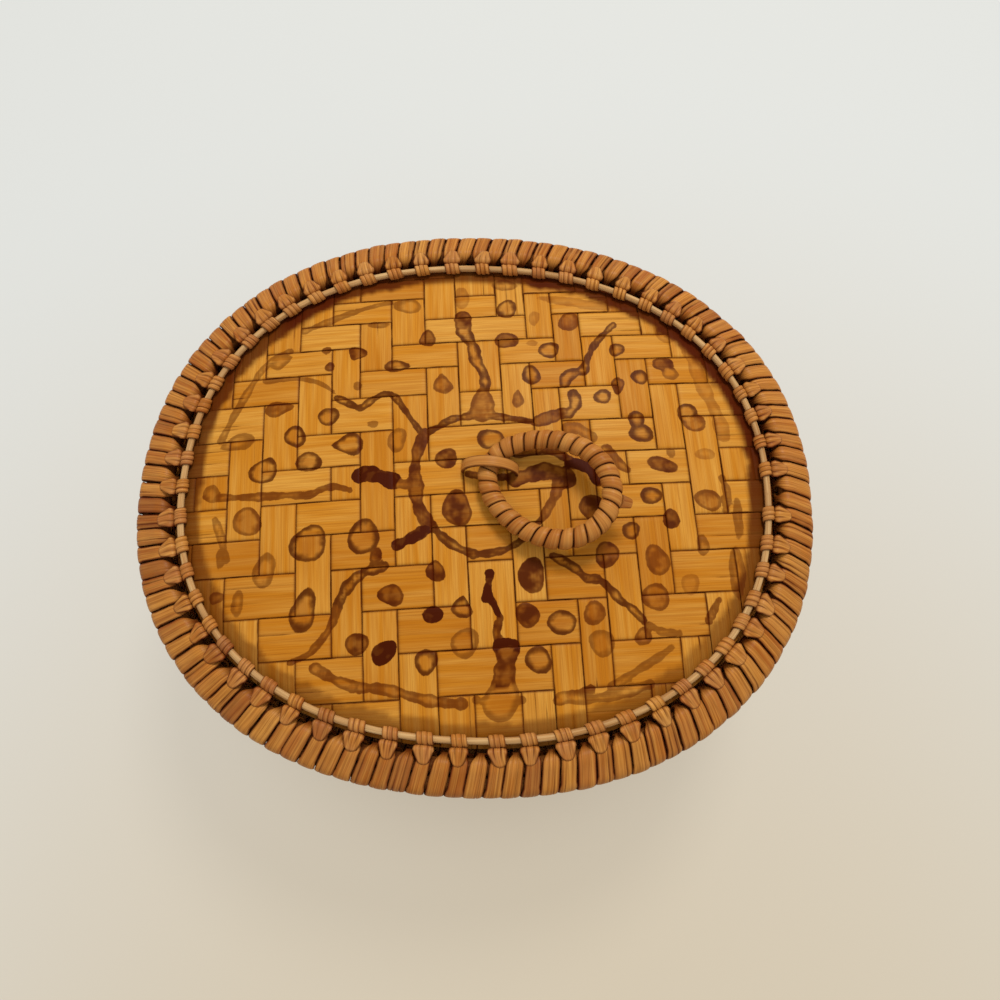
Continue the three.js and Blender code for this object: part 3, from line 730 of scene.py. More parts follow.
STROKES = (
    Stroke(
        ((337, 398), (350, 404), (361, 410), (372, 399), (390, 391), (403, 407), (415, 425), (426, 437)),
        4.2, RING, 0.7,
    ),
    Stroke(((266, 381), (299, 378), (321, 383), (334, 392)), 3.5, FAINT, 0.5),
    Stroke(((221, 441), (234, 416), (249, 390), (265, 365), (290, 351)), 4.0, FAINT),
    Stroke(((305, 331), (343, 316), (370, 307), (392, 302)), 4.5, FAINT, 0.5),
    Stroke(((205, 497), (225, 498), (258, 497)), 4.0, BROWN),
    Stroke(((258, 497), (290, 495), (309, 496), (321, 489), (334, 486), (350, 490)), 4.4, BROWN, 0.7),
    Stroke(((359, 476), (365, 473), (377, 475), (392, 481)), 7.5, BLACK),
    Stroke(((392, 483), (404, 484), (414, 487)), 4.5, BROWN),
    Stroke(((462.6, 317), (464, 330)), 8.0, DARK),
    Stroke(((464, 332), (474, 347), (474.9, 361), (484, 372), (486, 388)), 7.5, RING, 0.6),
    Stroke(((483, 393), (483, 402), (482, 410)), 6.5, BROWN, 2.0),
    Stroke(((425, 433), (418, 449), (414, 470), (416, 485)), 6.0, DARK, 0.9),
    Stroke(((416, 485), (416, 501), (423, 517), (432, 526)), 7.0, DARK, 0.8),
    Stroke(((432, 526), (441, 536), (455, 547), (473, 554)), 4.5, RING),
    Stroke(((473, 554.5), (494, 553), (511, 548), (528, 535), (543, 517)), 4.0, RING, 0.8),
    Stroke(((559, 481), (556, 495), (550, 505), (542, 519)), 6.0, BROWN, 0.6),
    Stroke(((425, 433), (439, 427), (451, 419), (466, 416.5)), 3.8, RING),
    Stroke(((466, 416.5), (487, 415), (509, 418), (534, 422)), 4.5, DARK, 0.7),
    Stroke(((539, 421), (551, 417), (563, 413)), 6.5, DARK),
    Stroke(((566, 428), (580, 428), (590, 437)), 6.0, FAINT),
    Stroke(((613, 325), (603.5, 334), (593, 346), (587, 359), (584, 370)), 3.4, RING, 1.2),
    Stroke(((584, 370), (567, 375), (564.7, 383)), 6.0, RING),
    Stroke(((573, 394), (577, 404), (569, 414)), 6.5, RING, 0.8),
    Stroke(((606, 450), (614, 456), (619, 464), (628, 470)), 6.0, BROWN, 0.6),
    Stroke(((516, 479), (530, 475), (547, 470), (560, 474), (568, 480)), 7.5, DARK, 1.2),
    # Partly a scorch mark, partly painted shadow of the ring's far arc.
    Stroke(((569, 463), (580, 464), (590, 470), (598, 479)), 5.0, BLACK, 1.2),
    # Painted shadow of the ring's far arc on the panel.
    Stroke(((516, 455), (535, 450), (554, 451), (568, 459)), 4.0, DARK, 1.1),
    # Painted shadow under the strap's arch.
    Stroke(((468, 474), (484, 477), (500, 478), (513, 475)), 3.4, DARK),
    Stroke(((397, 545), (412, 538), (427, 529)), 5.5, BLACK),
    Stroke(((384, 566), (379, 568), (361, 573), (346, 588), (338, 605)), 5.0, RING, 1.1),
    Stroke(((338, 605), (332, 625), (321, 641), (309, 655), (290, 663)), 4.5, BROWN, 0.6),
    Stroke(((489.6, 574), (488.5, 584), (485, 600)), 4.0, BLACK, 0.8),
    Stroke(((489, 592), (494, 604), (500, 618)), 3.2, BLACK, 0.8),
    Stroke(((500, 618), (495, 636), (504, 646)), 3.8, DARK, 0.8),
    Stroke(((500, 646), (512, 647)), 6.5, BLACK, 1.2),
    Stroke(((507, 652), (505, 668), (503, 689)), 9.5, DARK),
    Stroke(((504, 694), (500, 704)), 14.0, FAINT),
    Stroke(
        ((553, 556), (575, 567), (587, 580), (598, 578), (611, 589), (620, 601), (631, 607), (645, 622)),
        4.6, RING, 0.8,
    ),
    Stroke(((314, 668), (334, 680), (354, 687)), 5.0, BROWN),
    Stroke(((360, 688), (375, 688), (397, 692), (419, 699), (440, 703), (462, 704)), 5.0, BROWN),
    Stroke(((476, 700), (500, 706), (522, 700)), 4.0, FAINT),
    Stroke(((557, 701), (575, 694), (591, 689)), 5.0, BROWN, 0.7),
    Stroke(((613, 687), (638, 670), (658, 658), (672, 647)), 4.5, FAINT, 0.7),
    Stroke(((649, 625), (663, 633), (679, 633)), 3.6, FAINT),
    Stroke(((709, 620), (714, 610), (719, 599)), 4.5, BROWN, 0.6),
    Stroke(((560, 697), (590, 700), (620, 694), (650, 684)), 5.0, FAINT),
    Stroke(((686, 345), (694, 365), (705, 392), (716, 412), (724, 436)), 7.0, STAIN),
    Stroke(((722, 478), (728, 492), (726, 510)), 4.0, FAINT),
    Stroke(((215, 520), (222, 540), (226, 560)), 4.0, FAINT),
    Stroke(((230, 380), (243, 352), (262, 330)), 4.0, STAIN),
)


@dataclass
class ScorchPattern:
    """The burnt ornament of the lid: a ring with wavy rays, spots, and broken arcs by the rim, and a few
    painted shadows by the ring and under the strap.
    """

    view: PhotoView
    height_at: Callable[[Array, Array], Array]
    pixel: float = 1 / 2.25
    far: float = 6.0
    tallest: float = 134.5
    seed_step: float = 1.7
    corner_cuts: int = 2

    def _lid_point(self, column: float, row: float) -> Array:
        """The point on the domed panel that is seen at a pixel."""
        at = self.view.onto(column, row, self.tallest)
        height = float(self.height_at(np.array(at[0]), np.array(at[1])))
        return np.array(self.view.onto(column, row, height))

    def _spot_gap(self, spot: Spot, x: Array, y: Array, seed: float) -> Array:
        """How far outside a spot's edge each point is."""
        middle = self._lid_point(spot.column, spot.row)
        turn = math.radians(spot.lean)
        upright = 45 < spot.lean % 180 < 135
        long, short = (spot.tall, spot.wide) if upright else (spot.wide, spot.tall)
        along = (x - middle[0]) * math.cos(turn) + (y - middle[1]) * math.sin(turn)
        across = (y - middle[1]) * math.cos(turn) - (x - middle[0]) * math.sin(turn)
        long, short = long * self.pixel, short * self.pixel
        across = across / (1 - spot.point * np.clip(along / long, -0.4, 1.0))
        angle = np.arctan2(across, along)
        swell = 1 + 0.07 * np.sin(2 * angle + seed) + 0.05 * np.sin(3 * angle + 2.3 * seed)
        scaled = np.hypot(along / long, across / short) / swell
        return (scaled - 1) * min(long, short)

    def _stroke_gap(self, stroke: Stroke, x: Array, y: Array, seed: float) -> Array:
        """How far outside a stroke's edge each point is."""
        stops = np.array([self._lid_point(*stop) for stop in stroke.stops])
        for _ in range(self.corner_cuts):
            low, high = stops[:-1], stops[1:]
            cut = np.stack([0.75 * low + 0.25 * high, 0.25 * low + 0.75 * high], 1)
            stops = np.concatenate([stops[:1], cut.reshape(-1, 2), stops[-1:]])
        best = np.full(x.shape, np.inf)
        count = len(stops) - 1
        for i, (start, end) in enumerate(zip(stops[:-1], stops[1:])):
            way = end - start
            part = ((x - start[0]) * way[0] + (y - start[1]) * way[1]) / (way @ way)
            part = np.clip(part, 0.0, 1.0)
            gap = np.hypot(x - start[0] - part * way[0], y - start[1] - part * way[1])
            done = (i + part) / count
            bends = len(stroke.stops) * done
            width = stroke.half_width * (1 + (stroke.end_width - 1) * done)
            wave = 1 + 0.16 * np.sin(3.1 * bends + seed) + 0.1 * np.sin(7.3 * bends + 2 * seed)
            best = np.minimum(best, gap - width * wave * self.pixel)
        return best

    def at(self, x: Array, y: Array) -> dict[str, Array]:
        """What the ornament does at each point of the panel.

        Args:
            x: the points' x.
            y: the points' y.

        Returns:
            How far outside a mark each point is, and that mark's darkness and fill.
        """
        gap = np.full(x.shape, self.far)
        dark, fill = np.zeros(x.shape), np.zeros(x.shape)
        marks = [(spot, self._spot_gap) for spot in SPOTS]
        marks += [(line, self._stroke_gap) for line in STROKES]
        for number, (mark, measure) in enumerate(marks):
            own = measure(mark, x, y, self.seed_step * number)
            wins = own < gap
            gap = np.where(wins, own, gap)
            dark = np.where(wins, mark.style.value[0], dark)
            fill = np.where(wins, mark.style.value[1], fill)
        return {"mark_gap": np.clip(gap, -self.far, self.far), "mark_dark": dark, "mark_fill": fill}


@dataclass
class FlatWeave:
    """Flat splints woven over and under each other, and cut off at an oval."""

    oval: Oval
    inset: float
    turn: float
    edges: dict[Lay, Array]
    first: dict[Lay, int]
    over: Callable[[Array, Array], Array]
    height_at: Callable[[Array, Array], Array]
    thickness: float = 0.75
    drop: float = 0.95
    gap: float = 0.26
    ramp: float = 1.5
    spacing: float = 1.3
    splits: int = 2
    shade_from: float = 0.954
    edge_samples: int = 720
    bevel: float = 0.22
    plain_margin: float = 0.9
    split_half: float = 0.3
    least_length: float = 3.0
    rod_inset: float = 25.5

    def __post_init__(self) -> None:
        """Finds where the oval cuts the splints off."""
        count = self.edge_samples
        share = np.linspace(0.0, 1.0, count, endpoint=False)
        edge = self.oval.place(share, self.inset, 0.0)[:, :2]
        self.limits = {}
        for lay in Lay:
            side, along = self._to_weave(edge[:, 0], edge[:, 1], lay)
            start, end = int(np.argmin(side)), int(np.argmax(side))
            chains = []
            for a, b in ((start, end), (end, start)):
                chain = np.arange(a, b + 1 if b > a else b + count + 1) % count
                order = np.argsort(side[chain])
                chains.append((side[chain][order], along[chain][order]))
            chains.sort(key=lambda chain: chain[1].mean())
            self.limits[lay] = chains

    def _to_weave(self, x: Array, y: Array, lay: Lay) -> tuple[Array, Array]:
        """A point's places across and along the splints of one lay."""
        cosine, sine = math.cos(self.turn), math.sin(self.turn)
        u, v = x * cosine + y * sine, y * cosine - x * sine
        return (u, v) if lay is Lay.WARP else (v, u)

    def _to_lid(self, across: Array, along: Array, lay: Lay) -> tuple[Array, Array]:
        """The x and y of a place across and along the splints of one lay."""
        u, v = (across, along) if lay is Lay.WARP else (along, across)
        cosine, sine = math.cos(self.turn), math.sin(self.turn)
        return u * cosine - v * sine, u * sine + v * cosine

    def _states(self, lay: Lay, number: int) -> Array:
        """Whether a splint lies over at each crossing, as 1 or 0."""
        other = Lay.WEFT if lay is Lay.WARP else Lay.WARP
        crossings = np.arange(len(self.edges[other]) - 1) + self.first[other]
        if lay is Lay.WARP:
            return self.over(np.full(crossings.shape, number), crossings).astype(float)
        return 1.0 - self.over(crossings, np.full(crossings.shape, number))

    def _lift(self, along: Array, edges: Array, states: Array) -> Array:
        """How far up a splint is at each place, from 0 under to 1 over."""
        cell = np.clip(np.searchsorted(edges, along) - 1, 0, len(states) - 1)
        own = states[cell]
        before = states[np.maximum(cell - 1, 0)]
        after = states[np.minimum(cell + 1, len(states) - 1)]
        rise = smooth(0.5 + 0.5 * (along - edges[cell]) / self.ramp)
        fall = smooth(0.5 + 0.5 * (edges[cell + 1] - along) / self.ramp)
        return own + (before - own) * (1 - rise) + (after - own) * (1 - fall)

    def _along_points(self, edges: Array) -> Array:
        """Places along a splint, closer together where it dives."""
        near = (edges[:, None] + self.ramp * np.array([-1.0, -0.5, 0.0, 0.5, 1.0])).ravel()
        places = [near]
        for low, high in zip(edges[:-1], edges[1:]):
            span = high - low - 2 * self.ramp
            count = max(2, int(math.ceil(span / self.spacing)))
            places.append(low + self.ramp + span * np.arange(1, count) / count)
        return np.unique(np.round(np.concatenate(places), 4))

    def _across_points(self, half: float, splits: Array) -> Array:
        """Places across the top of a splint, closer together at its edges and its splits."""
        inner = half - self.plain_margin
        count = max(2, int(math.ceil(2 * inner / (1.25 * self.spacing))))
        places = [np.array([-half, -half + self.bevel, half - self.bevel, half])]
        places.append(np.linspace(-inner, inner, count + 1))
        for split in splits:
            places.append(split + np.array([-self.split_half, 0.0, self.split_half]))
        points = np.sort(np.concatenate(places))
        return points[np.concatenate([[True], np.diff(points) > 0.05])]

    def draft(self, lay: Lay, marks: Callable[[Array, Array], dict[str, Array]] | None) -> MeshDraft:
        """Drafts the splints of one lay.

        Args:
            lay: warp or weft.
            marks: the ornament, or None.

        Returns:
            The draft.
        """
        draft = MeshDraft()
        rng = np.random.default_rng(FLAT_WEAVE_SEED + lay.value)
        other = Lay.WEFT if lay is Lay.WARP else Lay.WARP
        sides, crossings = self.edges[lay], self.edges[other]
        along = self._along_points(crossings)
        for number, (low, high) in enumerate(zip(sides[:-1], sides[1:])):
            seed = rng.uniform(0.0, 9.0)
            half, middle = (high - low - self.gap) / 2, (high + low) / 2
            splits = np.sort(rng.uniform(-0.72, 0.72, self.splits)) * half
            tilt, tone = rng.uniform(-0.1, 0.1), rng.uniform(-1.0, 1.0)
            near_low, near_high = rng.uniform(-10.0, 45.0, (2, self.splits))
            across = self._across_points(half, splits)
            side, place = np.meshgrid(across, along)
            chains = self.limits[lay]
            lowest = max(chain[0][0] for chain in chains)
            highest = min(chain[0][-1] for chain in chains)
            side = np.clip(side, lowest - middle, highest - middle)
            limits = [np.interp(side + middle, *chain) for chain in chains]
            if (limits[1] - limits[0]).max() < self.least_length:
                continue
            place = np.clip(place, limits[0], limits[1])
            lift = self._lift(place, crossings, self._states(lay, number + self.first[lay]))
            x, y = self._to_lid(side + middle, place, lay)
            split_dip = np.zeros(side.shape)
            edge = half - np.abs(side)
            for split, end_low, end_high in zip(splits, near_low, near_high):
                close = np.minimum(place - limits[0] - end_low, limits[1] - place - end_high)
                strength = 0.32 - close / 14.0 + 0.3 * hum(place * 0.11, seed + split)
                strength, off = np.clip(strength, 0.0, 1.0), np.abs(side - split)
                split_dip += strength * np.clip(1 - off / self.split_half, 0.0, 1.0)
                edge = np.minimum(edge, off + 0.18 + (1 - strength) * 1.2)
            top = self.height_at(x, y) - (1 - lift) * self.drop
            top += 0.1 * (1 - (side / half) ** 2) + tilt * side / half + 0.06 * hum(place * 0.13, seed)
            top -= 0.3 * smooth(1 - (half - np.abs(side)) / 0.4) + 0.3 * split_dip
            rim = self._rim_share(x, y)
            # Painted shade where a splint dives under its crossing splint and where it lies under it.
            shade = smooth(2.0 * (1 - lift)) ** 1.5
            # Painted shade with some dirt in a band just inside the rod, deeper on the far side where the
            # rod shades the panel.
            rod_dirt_and_shade = smooth((rim - self.shade_from - 0.012 * hum(place * 0.3, seed)) / 0.028)
            deep = 0.62 + 0.38 * smooth(0.8 + 2.4 * y / self.oval.width)
            shade = np.maximum(shade, (deep + 0.1 * hum(x * 0.05 + y * 0.03, 4.0)) * rod_dirt_and_shade)
            frayed = np.clip(hum(place * 0.05 + side, seed + 6), 0.0, 1.0)
            edge = edge - 0.3 * smooth((rim - 0.78) / 0.15) * frayed
            pick = [-1, len(across) // 2, 0]
            points = np.stack([x, y, top], -1)
            below = points[:, pick].copy()
            below[..., 2] = self.height_at(x, y)[:, pick] - (1 - lift[:, pick]) * self.drop - self.thickness
            known = {
                "along": self._with_under(place, place[:, pick]),
                "across": self._with_under(side, np.array([half, 0.0, -half])),
                "seed": seed,
                "tone": self._with_under(tone + 0.5 * hum(place * 0.045, seed + 3), tone),
                "side": self._with_under(edge, 0.6),
                "shade": self._with_under(shade, 0.15),
            }
            if marks:
                for key, value in marks(x, y).items():
                    known[key] = self._with_under(value, value.max() if key == "mark_gap" else 0.0)
            draft.skin(np.concatenate([points, below], 1), known)
        return draft

    @staticmethod
    def _with_under(top: Array, under: Array | float) -> Array:
        """Values on a splint's top, with those of the three places across its underside."""
        return np.concatenate([top, np.broadcast_to(under, (len(top), 3))], 1)

    def _rim_share(self, x: Array, y: Array) -> Array:
        """How far out a point is, from 0 in the middle to 1 by the rod."""
        length, width = self.oval.length / 2 - self.rod_inset, self.oval.width / 2 - self.rod_inset
        power = self.oval.power
        return (np.abs(x / length) ** power + np.abs(y / width) ** power) ** (1 / power)


# Where the photograph shows the edges of the splints: along its row 425, and down its column 485
EDGE_ROW = 425
EDGE_COLUMN = 485
WARP_EDGE_COLUMNS = (262, 297, 331, 360, 393, 428, 461, 504, 534, 562, 590, 623, 655, 684)
WEFT_EDGE_ROWS = (741, 694, 648, 604, 561, 525, 492, 458, 425, 391, 364, 339, 314, 291, 270)


@dataclass
class LidPanel:
    """The domed lid panel: wide bamboo splints, over two and under two, in diamonds."""

    oval: Oval
    view: PhotoView
    edge_top: float = 129.654
    rise: float = 6.0
    flat_share: float = 0.34
    half_length: float = 124.52
    half_width: float = 104.52
    weave_turn: float = 0.098
    end_inset: float = 19.0
    pitch: float = 15.0
    seen_height: float = 134.4
    fall: float = 16.0

    def height_at(self, x: Array, y: Array) -> Array:
        """The height of the panel's top, which falls off outside its edge."""
        power = self.oval.power
        total = np.abs(x / self.half_length) ** power + np.abs(y / self.half_width) ** power
        share = total ** (1 / power)
        domed = self.edge_top + self.rise * (1 - np.maximum(share, self.flat_share) ** 2)
        return domed - self.fall * np.maximum(share - 1.0, 0.0)

    def _edges(self, low: Iterable[float], more_low: int, more_high: int) -> Array:
        """Edge places with more of them added at an even pitch on both sides."""
        edges = np.array(sorted(low))
        before = edges[0] - self.pitch * np.arange(more_low, 0, -1)
        after = edges[-1] + self.pitch * np.arange(1, more_high + 1)
        return np.concatenate([before, edges, after])

    def weave(self) -> FlatWeave:
        """The weave, with its splints where the photograph shows them.

        Returns:
            The weave.
        """
        cosine, sine = math.cos(self.weave_turn), math.sin(self.weave_turn)
        columns = [self.view.onto(c, EDGE_ROW, self.seen_height) for c in WARP_EDGE_COLUMNS]
        rows = [self.view.onto(EDGE_COLUMN, r, self.seen_height) for r in WEFT_EDGE_ROWS]
        warp = self._edges([x * cosine + y * sine for x, y in columns], 3, 3)
        weft = self._edges([y * cosine - x * sine for x, y in rows], 2, 2)
        return FlatWeave(
            self.oval, self.end_inset, self.weave_turn, {Lay.WARP: warp, Lay.WEFT: weft},
            {Lay.WARP: -9, Lay.WEFT: -8}, self._over, self.height_at,
        )

    @staticmethod
    def _over(column: Array, row: Array) -> Array:
        """Whether the warp lies over the weft: diamonds about the middle crossing."""
        step = (np.abs(column) + np.abs(row)) % 4
        return (step == 3) | (step == 0)

    def build(self) -> None:
        """Makes the warp and the weft as two pieces."""
        weave = self.weave()
        pattern = ScorchPattern(self.view, self.height_at)
        for lay in Lay:
            draft = weave.draft(lay, pattern.at)
            show(draft, f"panel_{lay.name.lower()}", PANEL_SPLINT, Body.LID, "lid_panel")


# The section of a wound cane: places across its top for a half width of 1, then two on its underside
CANE_ACROSS = np.array([
    -1.0, -0.94, -0.78, -0.5, -0.42, -0.34, 0.0, 0.3, 0.38, 0.46, 0.78, 0.94, 1.0, 0.6, -0.6,
])
CANE_UNDER = np.arange(15) > 12
CANE_GROOVES = (-0.42, 0.38)


@dataclass
class BoundHoops:
    """Flat cane wound side by side round two hoops that follow the oval."""

    oval: Oval
    outer: tuple[float, float]
    inner: tuple[float, float]
    reach: float
    thickness: float
    loops: int
    fill: float = 0.985
    round_end: float = 0.82
    tied: bool = False
    waist: float = 0.14
    samples: int = 44
    uneven: float = 0.12
    shade_reach: float = 2.6

    def __post_init__(self) -> None:
        """Works out the directions of the bundle and the length of one loop."""
        way = np.array([self.inner[0] - self.outer[0], self.outer[1] - self.inner[1]])
        self.span = float(np.linalg.norm(way))
        self.out = way / self.span
        self.up = np.array([-self.out[1], self.out[0]])
        self.radius = self.reach + self.thickness / 2
        self.loop_length = 2 * self.span + 2 * math.pi * self.radius

    def section(self, part: Array, above: Array) -> tuple[Array, Array, Array]:
        """A place on the way round the bundle.

        Args:
            part: how far round, from 0 under the inner hoop, by the outside, and back.
            above: how far outside the hoops' clearance.

        Returns:
            The place's inset and height, and its angle from straight out, in radians.
        """
        gone = np.mod(part, 1.0) * self.loop_length
        bend = math.pi * self.radius
        first = np.clip(gone / self.span, 0.0, 1.0)
        turn_out = np.clip((gone - self.span) / bend, 0.0, 1.0)
        back = np.clip((gone - self.span - bend) / self.span, 0.0, 1.0)
        turn_in = np.clip((gone - 2 * self.span - bend) / bend, 0.0, 1.0)
        angle = -math.pi / 2 + math.pi * (turn_out + turn_in)
        centre = self.span * (first - back)
        reach = self.reach + above
        out = centre + reach * np.cos(angle)
        up = reach * np.sin(angle)
        place = out[..., None] * self.out + up[..., None] * self.up
        return self.inner[0] - place[..., 0], self.inner[1] + place[..., 1], angle

    def draft_length(self, draft: MeshDraft, start: int, count: int, rng: np.random.Generator) -> None:
        """Adds one length of cane as an unbroken strip.

        Args:
            draft: what the strip is added to.
            start: the number of its first loop.
            count: how many loops it makes.
            rng: where its unevenness comes from.
        """
        turns = start + np.arange(count * self.samples + 1) / self.samples
        turns[-1] -= 1e-6
        part = np.mod(turns, 1.0)
        _, _, angle = self.section(part, np.zeros(part.shape))
        beyond = -np.cos(angle) * self.radius - self.shade_reach
        inward = np.clip(beyond / (self.radius - self.shade_reach), 0.0, 1.0)
        inward = np.where(np.cos(angle) < 0, inward, 0.0)
        knots = start + np.arange(count + 2) - 0.5
        wide, high, shift, tilt, first, second = (
            np.interp(turns, knots, values) for values in rng.normal(0.0, 1.0, (6, count + 2))
        )
        loop = np.floor(turns - start).astype(int)
        tone = rng.normal(0.0, 0.5, count + 1)[loop]
        width = self.fill * np.sqrt(1 - self.round_end * inward ** 2) * (1 + 0.02 * wide)
        if self.tied:
            top = smooth((angle - 1.1) / 0.6) * (np.floor(turns) % 2)
            width = width * (1 - self.waist * np.where(angle < math.pi, top, 0.0))
        across = CANE_ACROSS
        above = np.where(CANE_UNDER, 0.0, 1.02 - 0.6 * np.abs(across) ** 5) * self.thickness
        half = width * self.oval.perimeter / self.loops / 2
        edge = half[:, None] * (1 - np.abs(across))
        lift = np.broadcast_to(above, edge.shape) + 0.0
        for groove, strength in zip(CANE_GROOVES, (first, second)):
            deep = np.clip(0.35 + 0.5 * strength, 0.0, 1.0)[:, None]
            lift = lift - 0.34 * deep * (across == groove) * self.thickness
            edge = np.minimum(edge, half[:, None] * np.abs(across - groove) + 0.2 + 1.3 * (1 - deep))
        lift = lift + (self.uneven * high)[:, None] + (0.9 * self.uneven * tilt)[:, None] * across
        share = (turns + 0.02 * shift)[:, None] / self.loops + across * width[:, None] / (2 * self.loops)
        inset, height, _ = self.section(np.broadcast_to(part[:, None], share.shape), lift)
        outward = np.clip(np.cos(angle + 0.25), 0.0, 1.0) ** 2
        top_light = np.clip(np.sin(angle), 0.0, 1.0)
        known = {
            "along": (turns * self.loop_length)[:, None],
            "across": across * half[:, None],
            "seed": (np.floor(turns) * 0.731 % 9.0)[:, None],
            # Painted light: the top of each turn is a little lighter, as lit from above.
            "tone": (tone + 0.25 * top_light)[:, None],
            "side": edge,
            # Painted shade on the part of each turn that curls round the bundle's inner side.
            "shade": (0.8 * inward ** 3)[:, None],
            "wear": (outward + 0.12 * top_light)[:, None],
        }
        draft.skin(self.oval.place(share, inset, height), known)


# The sections of a tie's fan, with two grooves and three places under it, and of its wraps
FAN_ACROSS = np.array([
    -1.0, -0.93, -0.75, -0.44, -0.36, -0.28, 0.0, 0.28, 0.36, 0.44, 0.75, 0.93, 1.0, 0.85, 0.0, -0.85,
])
FAN_TOP = np.arange(16) < 13
FAN_GROOVE = 0.36
WRAP_ACROSS = np.array([-1.0, -0.86, -0.4, 0.0, 0.4, 0.86, 1.0, 0.5, -0.5])
WRAP_CROWN = np.array([0.35, 0.75, 0.97, 1.0, 0.97, 0.75, 0.35, 0.0, 0.0])


@dataclass
class RodTies:
    """The cane that ties the thin rod down: a fan over every second turn of the binding, and wraps."""

    rim: BoundHoops
    rod: tuple[float, float]
    rod_radius: float
    thickness: float = 0.8
    wraps: int = 3
    wrap_pitch: float = 2.5
    wrap_samples: int = 14
    samples: int = 26
    fan: tuple[tuple[float, float, float], ...] = (
        (12.0, 131.25, 2.1), (13.4, 131.6, 2.6), (15.0, 132.05, 3.1), (16.6, 132.45, 3.7),
        (17.8, 132.5, 4.1), (18.5, 132.1, 4.2), (18.85, 131.4, 4.0), (18.95, 130.6, 3.7),
    )

    def draft_tie(self, draft: MeshDraft, loop: float, rng: np.random.Generator) -> None:
        """Adds one fan and its wraps.

        Args:
            draft: what they are added to.
            loop: the number of the turn that they lie on, with its part.
            rng: where their unevenness comes from.
        """
        skew, tone, swell = rng.normal(0.0, 1.0, 3)
        share = (loop + 0.05 * skew) / self.rim.loops
        self._draft_fan(draft, share, tone, 1 + 0.06 * swell, 0.4 * skew)
        self._draft_wraps(draft, share, tone + 0.3 * skew, 1 + 0.05 * swell)

    def _draft_fan(self, draft: MeshDraft, share: float, tone: float, swell: float, lean: float) -> None:
        """Adds the strip that spreads from the binding towards the rod."""
        stops = np.array(self.fan)
        gone_stops = gone_along(stops[:, :2])
        gone = np.linspace(0.0, gone_stops[-1], self.samples)
        line = np.stack(pair_at(gone, gone_stops, stops), -1)
        line[1:-1] = (line[:-2] + 2 * line[1:-1] + line[2:]) / 4
        half = np.interp(gone, gone_stops, stops[:, 2]) * swell
        ahead = headings(line)
        normal = np.stack([-ahead[:, 1], ahead[:, 0]], -1)
        across = FAN_ACROSS
        spread = smooth(gone / gone[-1] * 1.3)[:, None]
        crown = np.where(FAN_TOP, 1.0 - 0.5 * np.abs(across) ** 6, 0.0)[None, :]
        groove = ((np.abs(across) == FAN_GROOVE) & FAN_TOP)[None, :] * (0.1 + 0.25 * spread)
        above = self.thickness * (crown - groove) * (0.35 + 0.65 * smooth(gone / 0.9))[:, None]
        curved = 0.9 * across[None, :] ** 2 * np.clip(1 - gone / 3.0, 0.0, 1.0)[:, None]
        curved = curved - 1.0 * across[None, :] ** 2 * smooth((gone / gone[-1] - 0.55) / 0.3)[:, None]
        at = np.clip(gone[:, None] + curved, 0.0, gone[-1])
        (inset, height), (side_in, side_up) = pair_at(at, gone, line), pair_at(at, gone, normal)
        inset, height = inset + side_in * above, height + side_up * above
        rate = self.rim.oval.rate(np.full(inset.shape, share), inset)
        shares = share + (across * half[:, None] + lean * (1 - spread)) / rate
        strand = np.abs(np.abs(across[None, :]) - FAN_GROOVE) * half[:, None] + 0.25 + 0.5 * (1 - spread)
        # Painted shade where the fan comes out from under the turn and where it goes under the rod.
        tuck_shade = 0.75 * np.clip(1 - gone / 0.7, 0, 1)
        under_rod_shade = smooth((gone - gone[-1] + 1.6) / 1.4)
        known = {
            "along": gone[:, None] + 900.0 * share, "across": across * half[:, None],
            "seed": (share * 311.0) % 9.0, "tone": 0.45 * tone + 0.3,
            "side": np.minimum(half[:, None] * (1 - np.abs(across)), strand),
            "shade": np.maximum(tuck_shade, under_rod_shade)[:, None], "wear": 0.25,
        }
        draft.skin(self.rim.oval.place(shares, inset, height), known)

    def _draft_wraps(self, draft: MeshDraft, share: float, tone: float, swell: float) -> None:
        """Adds the strip that goes round the rod."""
        turns = np.linspace(0.0, self.wraps, self.wrap_samples * self.wraps + 1)[:, None]
        across = WRAP_ACROSS
        angle = 2 * math.pi * turns - math.pi / 2
        bulge = 0.35 * np.sin(math.pi * turns / self.wraps)
        reach = self.rod_radius + 0.12 + self.thickness * WRAP_CROWN + bulge
        pitch = self.wrap_pitch * swell
        along = (turns - self.wraps / 2) * pitch * (1 - 0.5 / self.wraps) + across * pitch * 0.5
        inset, height = self.rod[0] + reach * np.cos(angle), self.rod[1] + reach * np.sin(angle)
        rate = self.rim.oval.rate(np.full(inset.shape, share), inset)
        known = {
            "along": turns * 14.0 + 700.0 * share, "across": across * pitch / 2,
            "seed": (share * 433.0) % 9.0, "tone": 0.45 * tone + 0.25 + 0.2 * np.sin(2.4 * turns),
            "side": 0.22 + (1 - np.abs(across)) * pitch * 0.47, "shade": 0.0, "wear": 0.3,
        }
        draft.skin(self.rim.oval.place(share + along / rate, inset, height), known)


